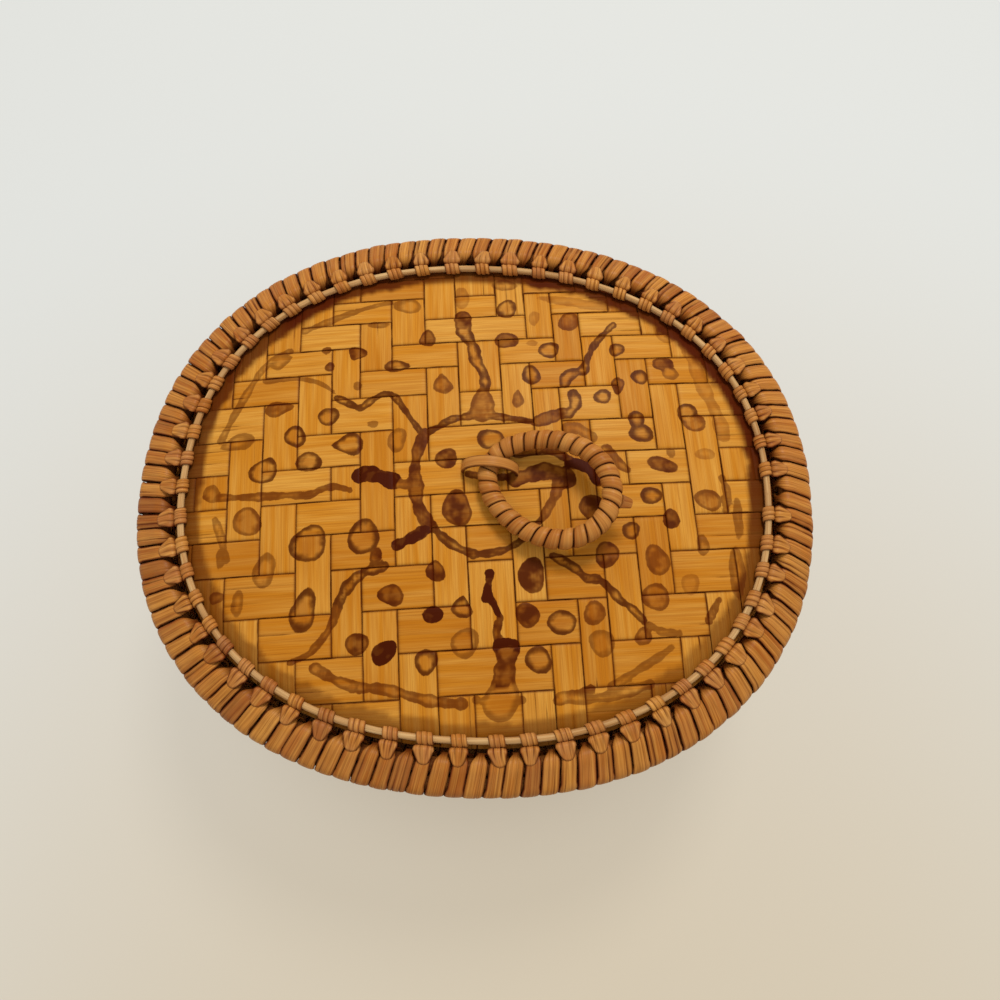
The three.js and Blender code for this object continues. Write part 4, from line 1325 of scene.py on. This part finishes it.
def draft_hoop(oval: Oval, inset: float, height: float, radius: float, seed: float, sides: int = 12,
               steps: int = 480, lowest: float = -math.inf, highest: float = math.inf) -> MeshDraft:
    """Drafts a round cane hoop that follows the oval.

    Args:
        oval: the outline.
        inset: how far inside it the hoop's middle line is.
        height: the middle line's height.
        radius: the cane's radius.
        seed: sets its unevenness.
        sides: how many sides its section has.
        steps: how many sections it has.
        lowest: a height that it is cut flat at from below.
        highest: a height that it is cut flat at from above.

    Returns:
        The draft.
    """
    share = np.arange(steps)[:, None] / steps
    angle = 2 * np.pi * np.arange(sides)[None, :] / sides
    wave = 2 * np.pi * share
    swell = radius * (1 + 0.025 * np.sin(7 * wave + seed) + 0.02 * np.sin(19 * wave + 2 * seed))
    up = np.clip(height + swell * np.sin(angle), lowest, highest)
    points = oval.place(share, inset + swell * np.cos(angle), up)
    draft = MeshDraft()
    known = {
        "along": share * oval.perimeter, "across": angle * radius, "seed": seed,
        "tone": 0.5 * np.sin(5 * wave + seed) + 0.3 * np.sin(23 * wave),
        "side": 2.0, "shade": 0.0, "wear": 0.2,
    }
    draft.skin(points, known, ring=True)
    return draft


@dataclass
class LidRim:
    """The lid's rim: two hoops, five lengths of binding with their ties, and the thin rod."""

    oval: Oval
    outer: tuple[float, float] = (5.4, 123.307)
    inner: tuple[float, float] = (12.08, 126.004)
    rod: tuple[float, float] = (21.98, 131.404)
    rod_radius: float = 1.4
    hoop_radius: float = 3.3
    lengths: tuple[int, ...] = (24, 24, 23, 23, 23)
    tie_part: float = 0.6

    def build(self) -> None:
        """Makes the hoops, the rod and the lengths of binding."""
        for name, (inset, height), seed in (("outer", self.outer, 1.0), ("inner", self.inner, 2.0)):
            draft = draft_hoop(self.oval, inset, height, self.hoop_radius, seed, sides=10, steps=240)
            show(draft, f"rim_hoop_{name}", CORE_CANE, Body.LID, f"lid_hoop_{name}")
        draft = draft_hoop(self.oval, *self.rod, self.rod_radius, 4.0, sides=10, steps=720)
        show(draft, "rim_rod", PALE_ROD, Body.LID, "lid_rod")
        rim = BoundHoops(self.oval, self.outer, self.inner, 4.35, 1.0, sum(self.lengths), tied=True)
        ties = RodTies(rim, self.rod, self.rod_radius)
        start = 0
        for number, count in enumerate(self.lengths, 1):
            draft, rng = MeshDraft(), np.random.default_rng(LID_BINDING_SEED + number)
            rim.draft_length(draft, start, count, rng)
            for loop in range(start, start + count):
                if loop % 2:
                    ties.draft_tie(draft, loop + self.tie_part, rng)
            show(draft, f"rim_binding_{number}", BINDING_CANE, Body.LID, f"lid_binding_{number}")
            start += count


# The section of a woven splint: places across it for a half width of 1, and heights for a thickness of 1
SPLINT_ACROSS = np.array([-1.0, -0.85, 0.0, 0.85, 1.0, 0.85, 0.0, -0.85])
SPLINT_ABOVE = np.array([0.0, 0.45, 0.5, 0.45, 0.0, -0.45, -0.5, -0.45])
CROSSING_STEPS = (0.0, 0.2, 0.5, 0.8)


@dataclass
class WovenBand:
    """Upright stakes and level weavers that follow the oval down a side profile."""

    oval: Oval
    profile: Array
    stakes: int
    rows: int
    over: int = 2
    thickness: float = 1.0
    offset: float = 0.68
    strip_share: float = 0.477
    ribs: int = 48
    rib_depth: float = 0.0
    rib_span: tuple[float, float, float] = (8.43, 38.0, 109.3)
    rib_fade: float = 8.0

    def __post_init__(self) -> None:
        """Measures the profile."""
        self.profile = np.array(self.profile, float)
        self.gone, ahead = gone_along(self.profile), headings(self.profile)
        self.outward = np.stack([ahead[:, 1], -ahead[:, 0]], -1)

    def _place(self, share: Array, down: Array, above: Array) -> Array:
        """Points by share round, distance down the profile, and distance outside it."""
        down = np.broadcast_to(down, np.broadcast(share, down, above).shape)
        inset, height = pair_at(down, self.gone, self.profile)
        side_in, side_up = pair_at(down, self.gone, self.outward)
        low, full, end = self.rib_span
        fade = np.clip(np.minimum((height - low) / (full - low), (end - height) / self.rib_fade), 0.0, 1.0)
        peak = 1 - np.abs(2 * np.mod(self.ribs * share, 1.0) - 1)
        above = above + self.rib_depth * fade * peak
        return self.oval.place(share, inset + side_in * above, height + side_up * above)

    def _lift(self, place: Array, number: int, sign: float) -> Array:
        """How far a strip is out, from -1 to 1, at a place counted in crossings."""
        cell = np.floor(place)
        part = place - cell
        turns = [(cell + step + number) % (2 * self.over) for step in (-1, 0, 1)]
        before, here, after = (np.where(turn < self.over, 1.0, -1.0) for turn in turns)
        rise, fall = smooth(0.5 + part * 3.2), smooth(0.5 + (1 - part) * 3.2)
        return sign * (here + (before - here) * (1 - rise) + (after - here) * (1 - fall))

    @staticmethod
    def _crossing_places(count: int) -> Array:
        """Places along a strip over a number of crossings, four for each."""
        return np.sort(np.concatenate([np.arange(count) + step for step in CROSSING_STEPS]))

    def draft_stakes(self) -> MeshDraft:
        """Drafts the upright splints.

        Returns:
            The draft.
        """
        draft, rng = MeshDraft(), np.random.default_rng(STAKE_SEED)
        place = np.append(self._crossing_places(self.rows), self.rows)
        across, above = SPLINT_ACROSS, SPLINT_ABOVE * self.thickness
        down = place * self.gone[-1] / self.rows
        for number in range(self.stakes):
            lift, part = self._lift(place, number, 1.0), self.strip_share * rng.uniform(0.985, 1.02)
            share = (number + across[None, :] * part) / self.stakes
            points = self._place(share, down[:, None], lift[:, None] * self.offset + above[None, :])
            half = part * self.oval.perimeter / self.stakes
            known = self._known(down[:, None], across * half, half, rng, lift[:, None])
            draft.skin(points, known)
        return draft

    def draft_weavers(self) -> MeshDraft:
        """Drafts the level splints, each a closed round.

        Returns:
            The draft.
        """
        draft, rng = MeshDraft(), np.random.default_rng(WEAVER_SEED)
        place = self._crossing_places(self.stakes)
        across, above = SPLINT_ACROSS, SPLINT_ABOVE * self.thickness
        row = self.gone[-1] / self.rows
        for number in range(self.rows):
            lift, part = self._lift(place, number, -1.0), self.strip_share * rng.uniform(0.985, 1.02)
            down = (number + 0.5 + across[None, :] * part) * row
            share = ((place - 0.5) / self.stakes)[:, None]
            points = self._place(share, down, lift[:, None] * self.offset + above[None, :])
            half = part * row
            known = self._known(share * self.oval.perimeter, across * half, half, rng, lift[:, None])
            draft.skin(points, known, ring=True)
        return draft

    @staticmethod
    def _known(
        along: Array, across: Array, half: float, rng: np.random.Generator, lift: Array,
    ) -> dict[str, Array | float]:
        """What is known of the fibre of one strip."""
        seed, tone = rng.uniform(0.0, 9.0), rng.uniform(-1.0, 1.0)
        return {
            "along": along, "across": across[None, :], "seed": seed,
            "tone": tone + 0.4 * hum(along * 0.05, seed), "side": half - np.abs(across)[None, :],
            # Painted shade where a strip passes from over to under its crossing strip.
            "shade": 0.5 * (1 - np.abs(lift)), "wear": 0.1,
        }


@dataclass
class LidCollar:
    """The woven collar under the lid panel, which keeps the lid on the mouth."""

    oval: Oval
    inset: float = 27.08
    top: float = 126.75
    bottom: float = 104.75

    def build(self) -> None:
        """Makes the collar as one piece of stakes and one of weavers."""
        heights = (self.top, (self.top + self.bottom) / 2, self.bottom)
        profile = np.array([[self.inset, height] for height in heights])
        band = WovenBand(self.oval, profile, 96, 3, over=1)
        show(band.draft_stakes(), "collar_stakes", PANEL_SPLINT, Body.LID, "lid_collar")
        show(band.draft_weavers(), "collar_weavers", PANEL_SPLINT, Body.LID, "lid_collar")


# The section of a floor brace, for a half width and a half thickness of 1
BRACE_ACROSS = np.array([-1.0, -0.96, -0.8, -0.4, 0.0, 0.4, 0.8, 0.96, 1.0, 0.96, 0.4, -0.4, -0.96])
BRACE_UP = np.array([0.0, 0.75, 0.95, 1.0, 1.0, 1.0, 0.95, 0.75, 0.0, -0.8, -1.0, -1.0, -0.8])


@dataclass
class BasketBody:
    """The woven bowl with its bound mouth, its floor, its floor braces and its foot hoop."""

    oval: Oval
    mouth: tuple[float, float] = (13.6, 113.8)
    mouth_hoop_offset: float = 4.4
    mouth_hoop_radius: float = 2.9
    upright: float = 109.3
    wall_top: float = 116.3
    wall_foot: tuple[float, float] = (23.6, 38.0)
    lean: float = 10.0
    floor_inset: float = 49.6
    floor_height: float = 8.43
    foot_inset: float = 58.6
    foot_height: float = 3.464
    foot_radius: float = 4.0
    stakes: int = 96
    rows: int = 16
    rib_depth: float = 0.7
    mouth_loops: int = 114
    foot_loops: int = 70

    def _profile(self) -> Array:
        """The wall's middle line from the mouth down to the floor."""
        part = np.linspace(0.0, 1.0, 13)[:, None]
        start = np.array(self.wall_foot)
        corner = np.array([self.wall_foot[0] + self.lean / 2, self.floor_height])
        end = np.array([self.floor_inset, self.floor_height])
        curve = start * (1 - part) ** 2 + corner * 2 * part * (1 - part) + end * part ** 2
        straight = np.linspace([self.mouth[0], self.upright], self.wall_foot, 9)[:-1]
        return np.concatenate([[[self.mouth[0], self.wall_top]], straight, curve])

    def build(self) -> None:
        """Makes the body's pieces."""
        band = WovenBand(self.oval, self._profile(), self.stakes, self.rows, rib_depth=self.rib_depth)
        show(band.draft_stakes(), "wall_stakes", BODY_SPLINT, Body.BODY, "body_shell")
        show(band.draft_weavers(), "wall_weavers", BODY_SPLINT, Body.BODY, "body_shell")
        self._build_floor()
        self._build_mouth()
        self._build_foot()

    def _build_floor(self) -> None:
        """Makes the floor's weave and the two flat splints under it."""
        edges = {Lay.WARP: np.arange(-8.5, 9.0) * 13.0, Lay.WEFT: np.arange(-7.5, 8.0) * 12.5}
        first = {Lay.WARP: -8, Lay.WEFT: -7}
        weave = FlatWeave(
            self.oval, self.floor_inset - 5.0, 0.0, edges, first,
            lambda column, row: (column + row) % 4 < 2,
            lambda x, y: np.full(np.shape(x), self.floor_height + 1.1),
            thickness=1.05, drop=1.1, spacing=2.6, shade_from=2.0,
        )
        for lay in Lay:
            show(weave.draft(lay, None), f"floor_{lay.name.lower()}", BODY_SPLINT, Body.BODY, "body_shell")
        for name, along_x in (("floor_brace_long", True), ("floor_brace_short", False)):
            low, high = (np.array(corner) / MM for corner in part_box(name))
            brace = self._draft_brace(low, high, along_x)
            show(brace, name.replace("floor_", "foot_"), BODY_SPLINT, Body.BODY, name)

    @staticmethod
    def _draft_brace(low: Array, high: Array, along_x: bool) -> MeshDraft:
        """Drafts a flat splint with a bamboo joint in it, inside the box from low to high."""
        draft = MeshDraft()
        axis, side = (0, 1) if along_x else (1, 0)
        half, middle = (high[side] - low[side]) / 2, (high + low) / 2
        part = np.linspace(0.0, 1.0, 61)
        along = low[axis] + (high[axis] - low[axis]) * part
        across, up = BRACE_ACROSS, BRACE_UP
        thick = (high[2] - low[2]) / 2
        joint = np.exp(-((part - 0.37) / 0.012) ** 2)
        waist = 1 - 0.05 * np.abs(hum(part * 9.0, 2.0)) - 0.12 * joint
        points = np.zeros((len(part), len(across), 3))
        points[..., axis] = along[:, None]
        points[..., side] = middle[side] + across * half * (0.93 + 0.07 * joint)[:, None]
        points[..., 2] = middle[2] + up * thick * waist[:, None]
        known = {
            "along": along[:, None], "across": (across * half)[None, :], "seed": 3.0,
            "tone": -0.6 * joint[:, None] + 0.2, "side": half * (1 - np.abs(across))[None, :],
            "shade": 0.5 * joint[:, None], "wear": 0.1,
        }
        draft.skin(points, known)
        return draft

    def _build_mouth(self) -> None:
        """Makes the mouth's two hoops and the cane wound round them."""
        inner = (self.mouth[0] + self.mouth_hoop_offset, self.mouth[1])
        outer = (self.mouth[0] - self.mouth_hoop_offset, self.mouth[1])
        for name, place, seed in (("inner", inner, 6.0), ("outer", outer, 4.0)):
            draft = draft_hoop(self.oval, *place, self.mouth_hoop_radius, seed, sides=10, steps=240)
            show(draft, f"mouth_hoop_{name}", CORE_CANE, Body.BODY, f"body_hoop_{name}")
        rim = BoundHoops(
            self.oval, outer, inner, 3.12, 0.95, self.mouth_loops, round_end=0.0, samples=36, uneven=0.03,
        )
        draft, rng = MeshDraft(), np.random.default_rng(MOUTH_SEED)
        rim.draft_length(draft, 0, self.mouth_loops, rng)
        show(draft, "mouth_binding", BINDING_CANE, Body.BODY, "body_binding")

    def _build_foot(self) -> None:
        """Makes the foot hoop and the cane that lashes it to the floor."""
        height = self.foot_height
        draft = draft_hoop(
            self.oval, self.foot_inset, height, self.foot_radius, 7.0,
            sides=16, steps=320, lowest=0.0, highest=2 * height,
        )
        rng = np.random.default_rng(FOOT_SEED)
        lashing = BoundHoops(
            self.oval, (self.foot_inset - 0.4, height), (self.foot_inset + 0.4, height),
            self.foot_radius + 0.02, 0.5, self.foot_loops,
            fill=0.6, round_end=0.0, samples=24, uneven=0.0,
        )
        lash = MeshDraft()
        for loop in range(0, self.foot_loops, 2):
            lashing.draft_length(lash, loop, 1, rng)
        for points in lash.points:
            points[:, 2] = np.clip(points[:, 2], 0.0, 2 * height + 1.2)
        show(draft, "foot_ring", BINDING_CANE, Body.BODY, "foot_hoop")
        show(lash, "foot_lashing", HANDLE_CANE, Body.BODY, "foot_hoop")


# The sections of the ring's winding and of its strap, for a half width and a thickness of 1
WOUND_ACROSS = np.array([-1.0, -0.93, -0.7, -0.3, 0.0, 0.3, 0.7, 0.93, 1.0, 0.6, -0.6])
WOUND_ABOVE = np.array([0.3, 0.62, 0.88, 1.0, 1.02, 1.0, 0.88, 0.62, 0.3, 0.0, 0.0])
STRAP_ACROSS = np.array([-1.0, -0.96, -0.8, -0.5, 0.0, 0.5, 0.8, 0.96, 1.0, 0.96, 0.0, -0.96])
STRAP_ABOVE = np.array([0.0, 0.7, 0.95, 1.0, 0.92, 1.0, 0.95, 0.7, 0.0, -0.75, -1.0, -0.75])


@dataclass
class RingHandle:
    """The ring handle: a bent cane core wound with flat cane, held under an arched strap."""

    strap_at: tuple[float, float] = (6.5, 5.0)
    panel_top: float = 134.96
    hinge_height: float = 140.125
    strap_turn: float = math.radians(-2)
    strap_span: float = 25.0
    strap_width: float = 4.9
    strap_thickness: float = 1.35
    arch_inside: float = 10.43
    strap_foot: float = 9.0
    panel_thickness: float = 2.6
    ring_length: float = 54.5
    ring_width: float = 46.0
    tip_share: float = 0.2
    ring_turn: float = math.radians(-22)
    ring_tilt: float = math.radians(10)
    ring_cant: float = math.radians(7)
    core_radius: float = 3.1
    wound_radius: float = 3.2
    wound_thickness: float = 1.1
    wound_loops: int = 28
    start_share: float = 0.475
    around: float = 158.0
    samples: int = 30
    loose_samples: int = 6

    def _ring_table(self) -> tuple[Array, Array]:
        """The ring's middle line in its own plane, and its length at each point."""
        angle = np.linspace(0.0, 2 * np.pi, 1441)
        back = (1 + np.cos(angle)) / 2
        line = np.stack([
            self.ring_length / 2 * (1 - np.cos(angle)),
            self.ring_width / 2 * np.sin(angle) * (1 - self.tip_share * back),
        ], -1)
        return line, gone_along(line)

    def _ring_place(self, share: Array, out: Array, up: Array) -> Array:
        """Points by share round the ring, and distances outwards and upwards from its middle line."""
        line, gone = self._ring_table()
        at = np.mod(share, 1.0) * gone[-1]
        (x, y), (ahead_x, ahead_y) = pair_at(at, gone, line), pair_at(at, gone, headings(line))
        flat = np.stack([x + ahead_y * out, y - ahead_x * out, np.broadcast_to(up, x.shape)], -1)
        cant_cos, cant_sin = math.cos(self.ring_cant), math.sin(self.ring_cant)
        tilt_cos, tilt_sin = math.cos(self.ring_tilt), math.sin(self.ring_tilt)
        turn_cos, turn_sin = math.cos(self.ring_turn), math.sin(self.ring_turn)
        cant = np.array([[1, 0, 0], [0, cant_cos, -cant_sin], [0, cant_sin, cant_cos]])
        tilt = np.array([[tilt_cos, 0, -tilt_sin], [0, 1, 0], [tilt_sin, 0, tilt_cos]])
        turn = np.array([[turn_cos, -turn_sin, 0], [turn_sin, turn_cos, 0], [0, 0, 1]])
        return flat @ (turn @ tilt @ cant).T + np.array([*self.strap_at, self.hinge_height])

    def build(self) -> None:
        """Makes the core, the winding and the strap."""
        self._build_core()
        self._build_winding()
        self._build_strap()

    def _build_core(self) -> None:
        """Makes the bent cane core."""
        draft = MeshDraft()
        steps, sides = 120, 12
        angle = 2 * np.pi * np.arange(sides)[None, :] / sides
        share, angle = np.broadcast_arrays(np.arange(steps)[:, None] / steps, angle)
        points = self._ring_place(share, self.core_radius * np.cos(angle), self.core_radius * np.sin(angle))
        known = {
            "along": share * self.around, "across": angle * self.core_radius, "seed": 2.0, "tone": 0.0,
            # Painted shade: the whole core is darkened, as it shows only in the gaps between the turns.
            "side": 2.0, "shade": 0.65, "wear": 0.0,
        }
        draft.skin(points, known, ring=True)
        show(draft, "ring_core", CORE_CANE, Body.HANDLE, "handle_core")

    def _build_winding(self) -> None:
        """Makes the flat cane that is wound round the core, with one loose end."""
        draft = MeshDraft()
        samples, loops = self.samples, self.wound_loops
        turns = np.arange(-self.loose_samples, loops * samples) / samples
        loose = np.clip(-turns * samples / self.loose_samples, 0.0, 1.0)
        rng = np.random.default_rng(RING_SEED)
        high, wide, tone = rng.normal(0.0, 1.0, (3, loops + 2))
        knots = np.arange(loops + 2) - 1.0
        wound = np.maximum(turns, 0.0)
        angle = 2 * np.pi * wound + math.pi
        across, above = WOUND_ACROSS, WOUND_ABOVE * self.wound_thickness
        width = 0.972 * (1 + 0.012 * np.interp(turns, knots, wide)) * (1 - 0.45 * loose)
        share = self.start_share + (wound[:, None] + across * width[:, None] / 2) / loops
        reach = self.wound_radius + above[None, :] + 0.05 * np.interp(turns, knots, high)[:, None]
        reach = reach + (4.2 * loose)[:, None]
        lean = (1.2 * loose ** 2)[:, None]
        out = reach * np.cos(angle)[:, None] - lean * np.sin(angle)[:, None]
        up = reach * np.sin(angle)[:, None] - lean * 1.4
        points = self._ring_place(share, out, up)
        half = width * self.around / loops / 2
        known = {
            "along": (turns * 24.0)[:, None], "across": across * half[:, None],
            "seed": (np.floor(turns) * 0.53 % 9.0)[:, None],
            "tone": (0.5 * tone[np.clip(np.floor(turns + 0.5).astype(int), 0, loops)])[:, None],
            "side": half[:, None] * (1 - np.abs(across)), "wear": 0.2,
            # Painted shade on the underside of the winding, towards the panel.
            "shade": 0.9 * smooth((0.4 - np.sin(angle)) / 1.1)[:, None] * (1 - loose)[:, None],
        }
        draft.skin(points, known)
        show(draft, "ring_winding", HANDLE_CANE, Body.HANDLE, "handle_winding")

    def _build_strap(self) -> None:
        """Makes the arched strap, with its legs through the panel and its feet under it."""
        half = self.strap_span / 2 - self.strap_thickness / 2
        rise = self.arch_inside + self.strap_thickness / 2
        under = -self.panel_thickness - 0.3 - self.strap_thickness / 2
        arch = [(half * math.cos(a), rise * math.sin(a)) for a in np.linspace(0.0, math.pi, 33)]
        stops = [
            (half + self.strap_foot, under), (half + 4.0, under), (half + 1.0, under + 0.1),
            (half, under + 0.9), (half, -1.2),
        ]
        line = np.array(stops + arch + [(-x, z) for x, z in reversed(stops)])
        gone, ahead = gone_along(line), headings(line)
        outward = np.stack([ahead[:, 1], -ahead[:, 0]], -1)
        across, above = STRAP_ACROSS, STRAP_ABOVE * self.strap_thickness / 2
        x = line[:, 0, None] + outward[:, 0, None] * above
        z = line[:, 1, None] + outward[:, 1, None] * above
        y = np.broadcast_to(across * self.strap_width / 2, x.shape)
        cosine, sine = math.cos(self.strap_turn), math.sin(self.strap_turn)
        points = np.stack([
            self.strap_at[0] + x * cosine - y * sine,
            self.strap_at[1] + x * sine + y * cosine,
            self.panel_top + z,
        ], -1)
        known = {
            "along": gone[:, None], "across": (across * self.strap_width / 2)[None, :],
            "seed": 6.0, "tone": 0.35,
            "side": (1 - np.abs(across))[None, :] * self.strap_width / 2,
            # Painted shade on the strap's underside.
            "shade": 0.8 * (above < 0)[None, :] * np.ones(x.shape), "wear": 0.2,
        }
        draft = MeshDraft()
        draft.skin(points, known)
        show(draft, "ring_strap", HANDLE_CANE, Body.LID, "handle_strap")


@dataclass
class Studio:
    """A plain pale floor and soft light from behind and above."""

    floor_size: float = 40.0
    far_colour: Rgb = linear("e2e3df")
    near_colour: Rgb = linear("d8cbb4")
    warm_place: tuple[float, float] = (0.08, -0.42)
    warm_reach: tuple[float, float] = (0.14, 0.78)
    floor_glow: float = 0.74
    glow_reach: tuple[float, float] = (0.4, 1.3)
    foot_glow: float = 0.3
    foot_reach: tuple[float, float] = (0.06, 0.19)
    lamp_size: float = 0.45
    lamp_power: float = 14.0
    lamp_place: tuple[float, float, float] = (0.25, 0.8, 1.45)
    sky: Rgb = (1.0, 0.99, 0.96)
    sky_strength: float = 0.6

    def build(self, view: PhotoView) -> None:
        """Makes the floor, the light and the camera.

        Args:
            view: where the photograph was taken from.
        """
        view.camera()
        self._floor()
        self._lamp()
        self._world()
        bpy.context.scene.view_settings.view_transform = "Standard"

    def _floor(self) -> None:
        """Makes the floor, a little warmer in front of the basket than elsewhere."""
        half = self.floor_size / 2
        mesh = bpy.data.meshes.new("floor")
        corners = [(-half, -half, 0.0), (half, -half, 0.0), (half, half, 0.0), (-half, half, 0.0)]
        mesh.from_pydata(corners, [], [(0, 1, 2, 3)])
        floor = bpy.data.objects.new("floor", mesh)
        bpy.context.scene.collection.objects.link(floor)
        material = bpy.data.materials.new("pale_table")
        material.use_nodes = True
        wiring = Wiring(material.node_tree)
        shader = material.node_tree.nodes["Principled BSDF"]
        place = wiring.add("NewGeometry", {}).outputs["Position"]
        away = wiring.add("VectorMath", {0: place, 1: (*self.warm_place, 0.0)}, operation="DISTANCE")
        near = wiring.rest(wiring.ramp(away.outputs["Value"], *self.warm_reach))
        cloud = wiring.scaled(wiring.noise(place, 3.0, 3.0), 0.12, -0.06)
        warm = wiring.times(near, wiring.math("ADD", cloud, 1.0), clamp=True)
        colour = wiring.mix(warm, self.far_colour, self.near_colour)
        wiring.feed(shader.inputs["Base Color"], colour)
        shader.inputs["Roughness"].default_value = 0.75
        shader.inputs["Specular IOR Level"].default_value = 0.1
        # Seen by the camera, the floor partly glows in its own colour: painted light that lightens the
        # basket's shadow on it, less so by the foot, and that turns into the plain backdrop far off.
        glow = wiring.add("Emission", {"Color": colour, "Strength": 1.0})
        reach = wiring.add("VectorMath", {0: place}, operation="LENGTH").outputs["Value"]
        far = wiring.ramp(reach, *self.glow_reach)
        share = wiring.scaled(far, 1.0 - self.floor_glow, self.floor_glow)
        clear = wiring.ramp(reach, *self.foot_reach)
        by_foot = wiring.scaled(clear, 1.0 - self.foot_glow, self.foot_glow)
        share = wiring.times(share, by_foot)
        seen = wiring.times(wiring.add("LightPath", {}).outputs["Is Camera Ray"], share)
        both = wiring.add("MixShader", {0: seen, 1: shader.outputs[0], 2: glow.outputs[0]})
        wiring.feed(material.node_tree.nodes["Material Output"].inputs["Surface"], both.outputs[0])
        mesh.materials.append(material)

    def _lamp(self) -> None:
        """Makes one large soft lamp behind the basket, to the right."""
        data = bpy.data.lights.new("window_lamp", "AREA")
        data.shape = "DISK"
        data.size = self.lamp_size
        data.energy = self.lamp_power
        data.color = self.sky
        lamp = bpy.data.objects.new("window_lamp", data)
        lamp.location = self.lamp_place
        x, y, z = self.lamp_place
        away = math.hypot(x, y)
        lamp.rotation_euler = (math.atan2(away, z), 0.0, math.atan2(y, x) + math.pi / 2)
        bpy.context.scene.collection.objects.link(lamp)

    def _world(self) -> None:
        """Makes the even light all round, and the floor's far colour behind it all."""
        world = bpy.data.worlds.new("even_light")
        world.use_nodes = True
        wiring = Wiring(world.node_tree)
        light = world.node_tree.nodes["Background"]
        light.inputs["Color"].default_value = (*self.sky, 1.0)
        light.inputs["Strength"].default_value = self.sky_strength
        backdrop = wiring.add("Background", {"Color": (*self.far_colour, 1.0), "Strength": 1.0})
        seen = wiring.add("LightPath", {}).outputs["Is Camera Ray"]
        both = wiring.add("MixShader", {0: seen, 1: light.outputs[0], 2: backdrop.outputs[0]})
        wiring.feed(world.node_tree.nodes["World Output"].inputs["Surface"], both.outputs[0])
        bpy.context.scene.world = world


def main() -> None:
    """Builds the basket's looks, piece by piece."""
    logging.basicConfig(level=logging.INFO, format="%(name)s: %(message)s")
    oval, view = Oval(), PhotoView()
    Studio().build(view)
    build_effects()
    LidPanel(oval, view).build()
    LidRim(oval).build()
    LidCollar(oval).build()
    RingHandle().build()
    BasketBody(oval).build()


if __name__ == "__main__":
    main()
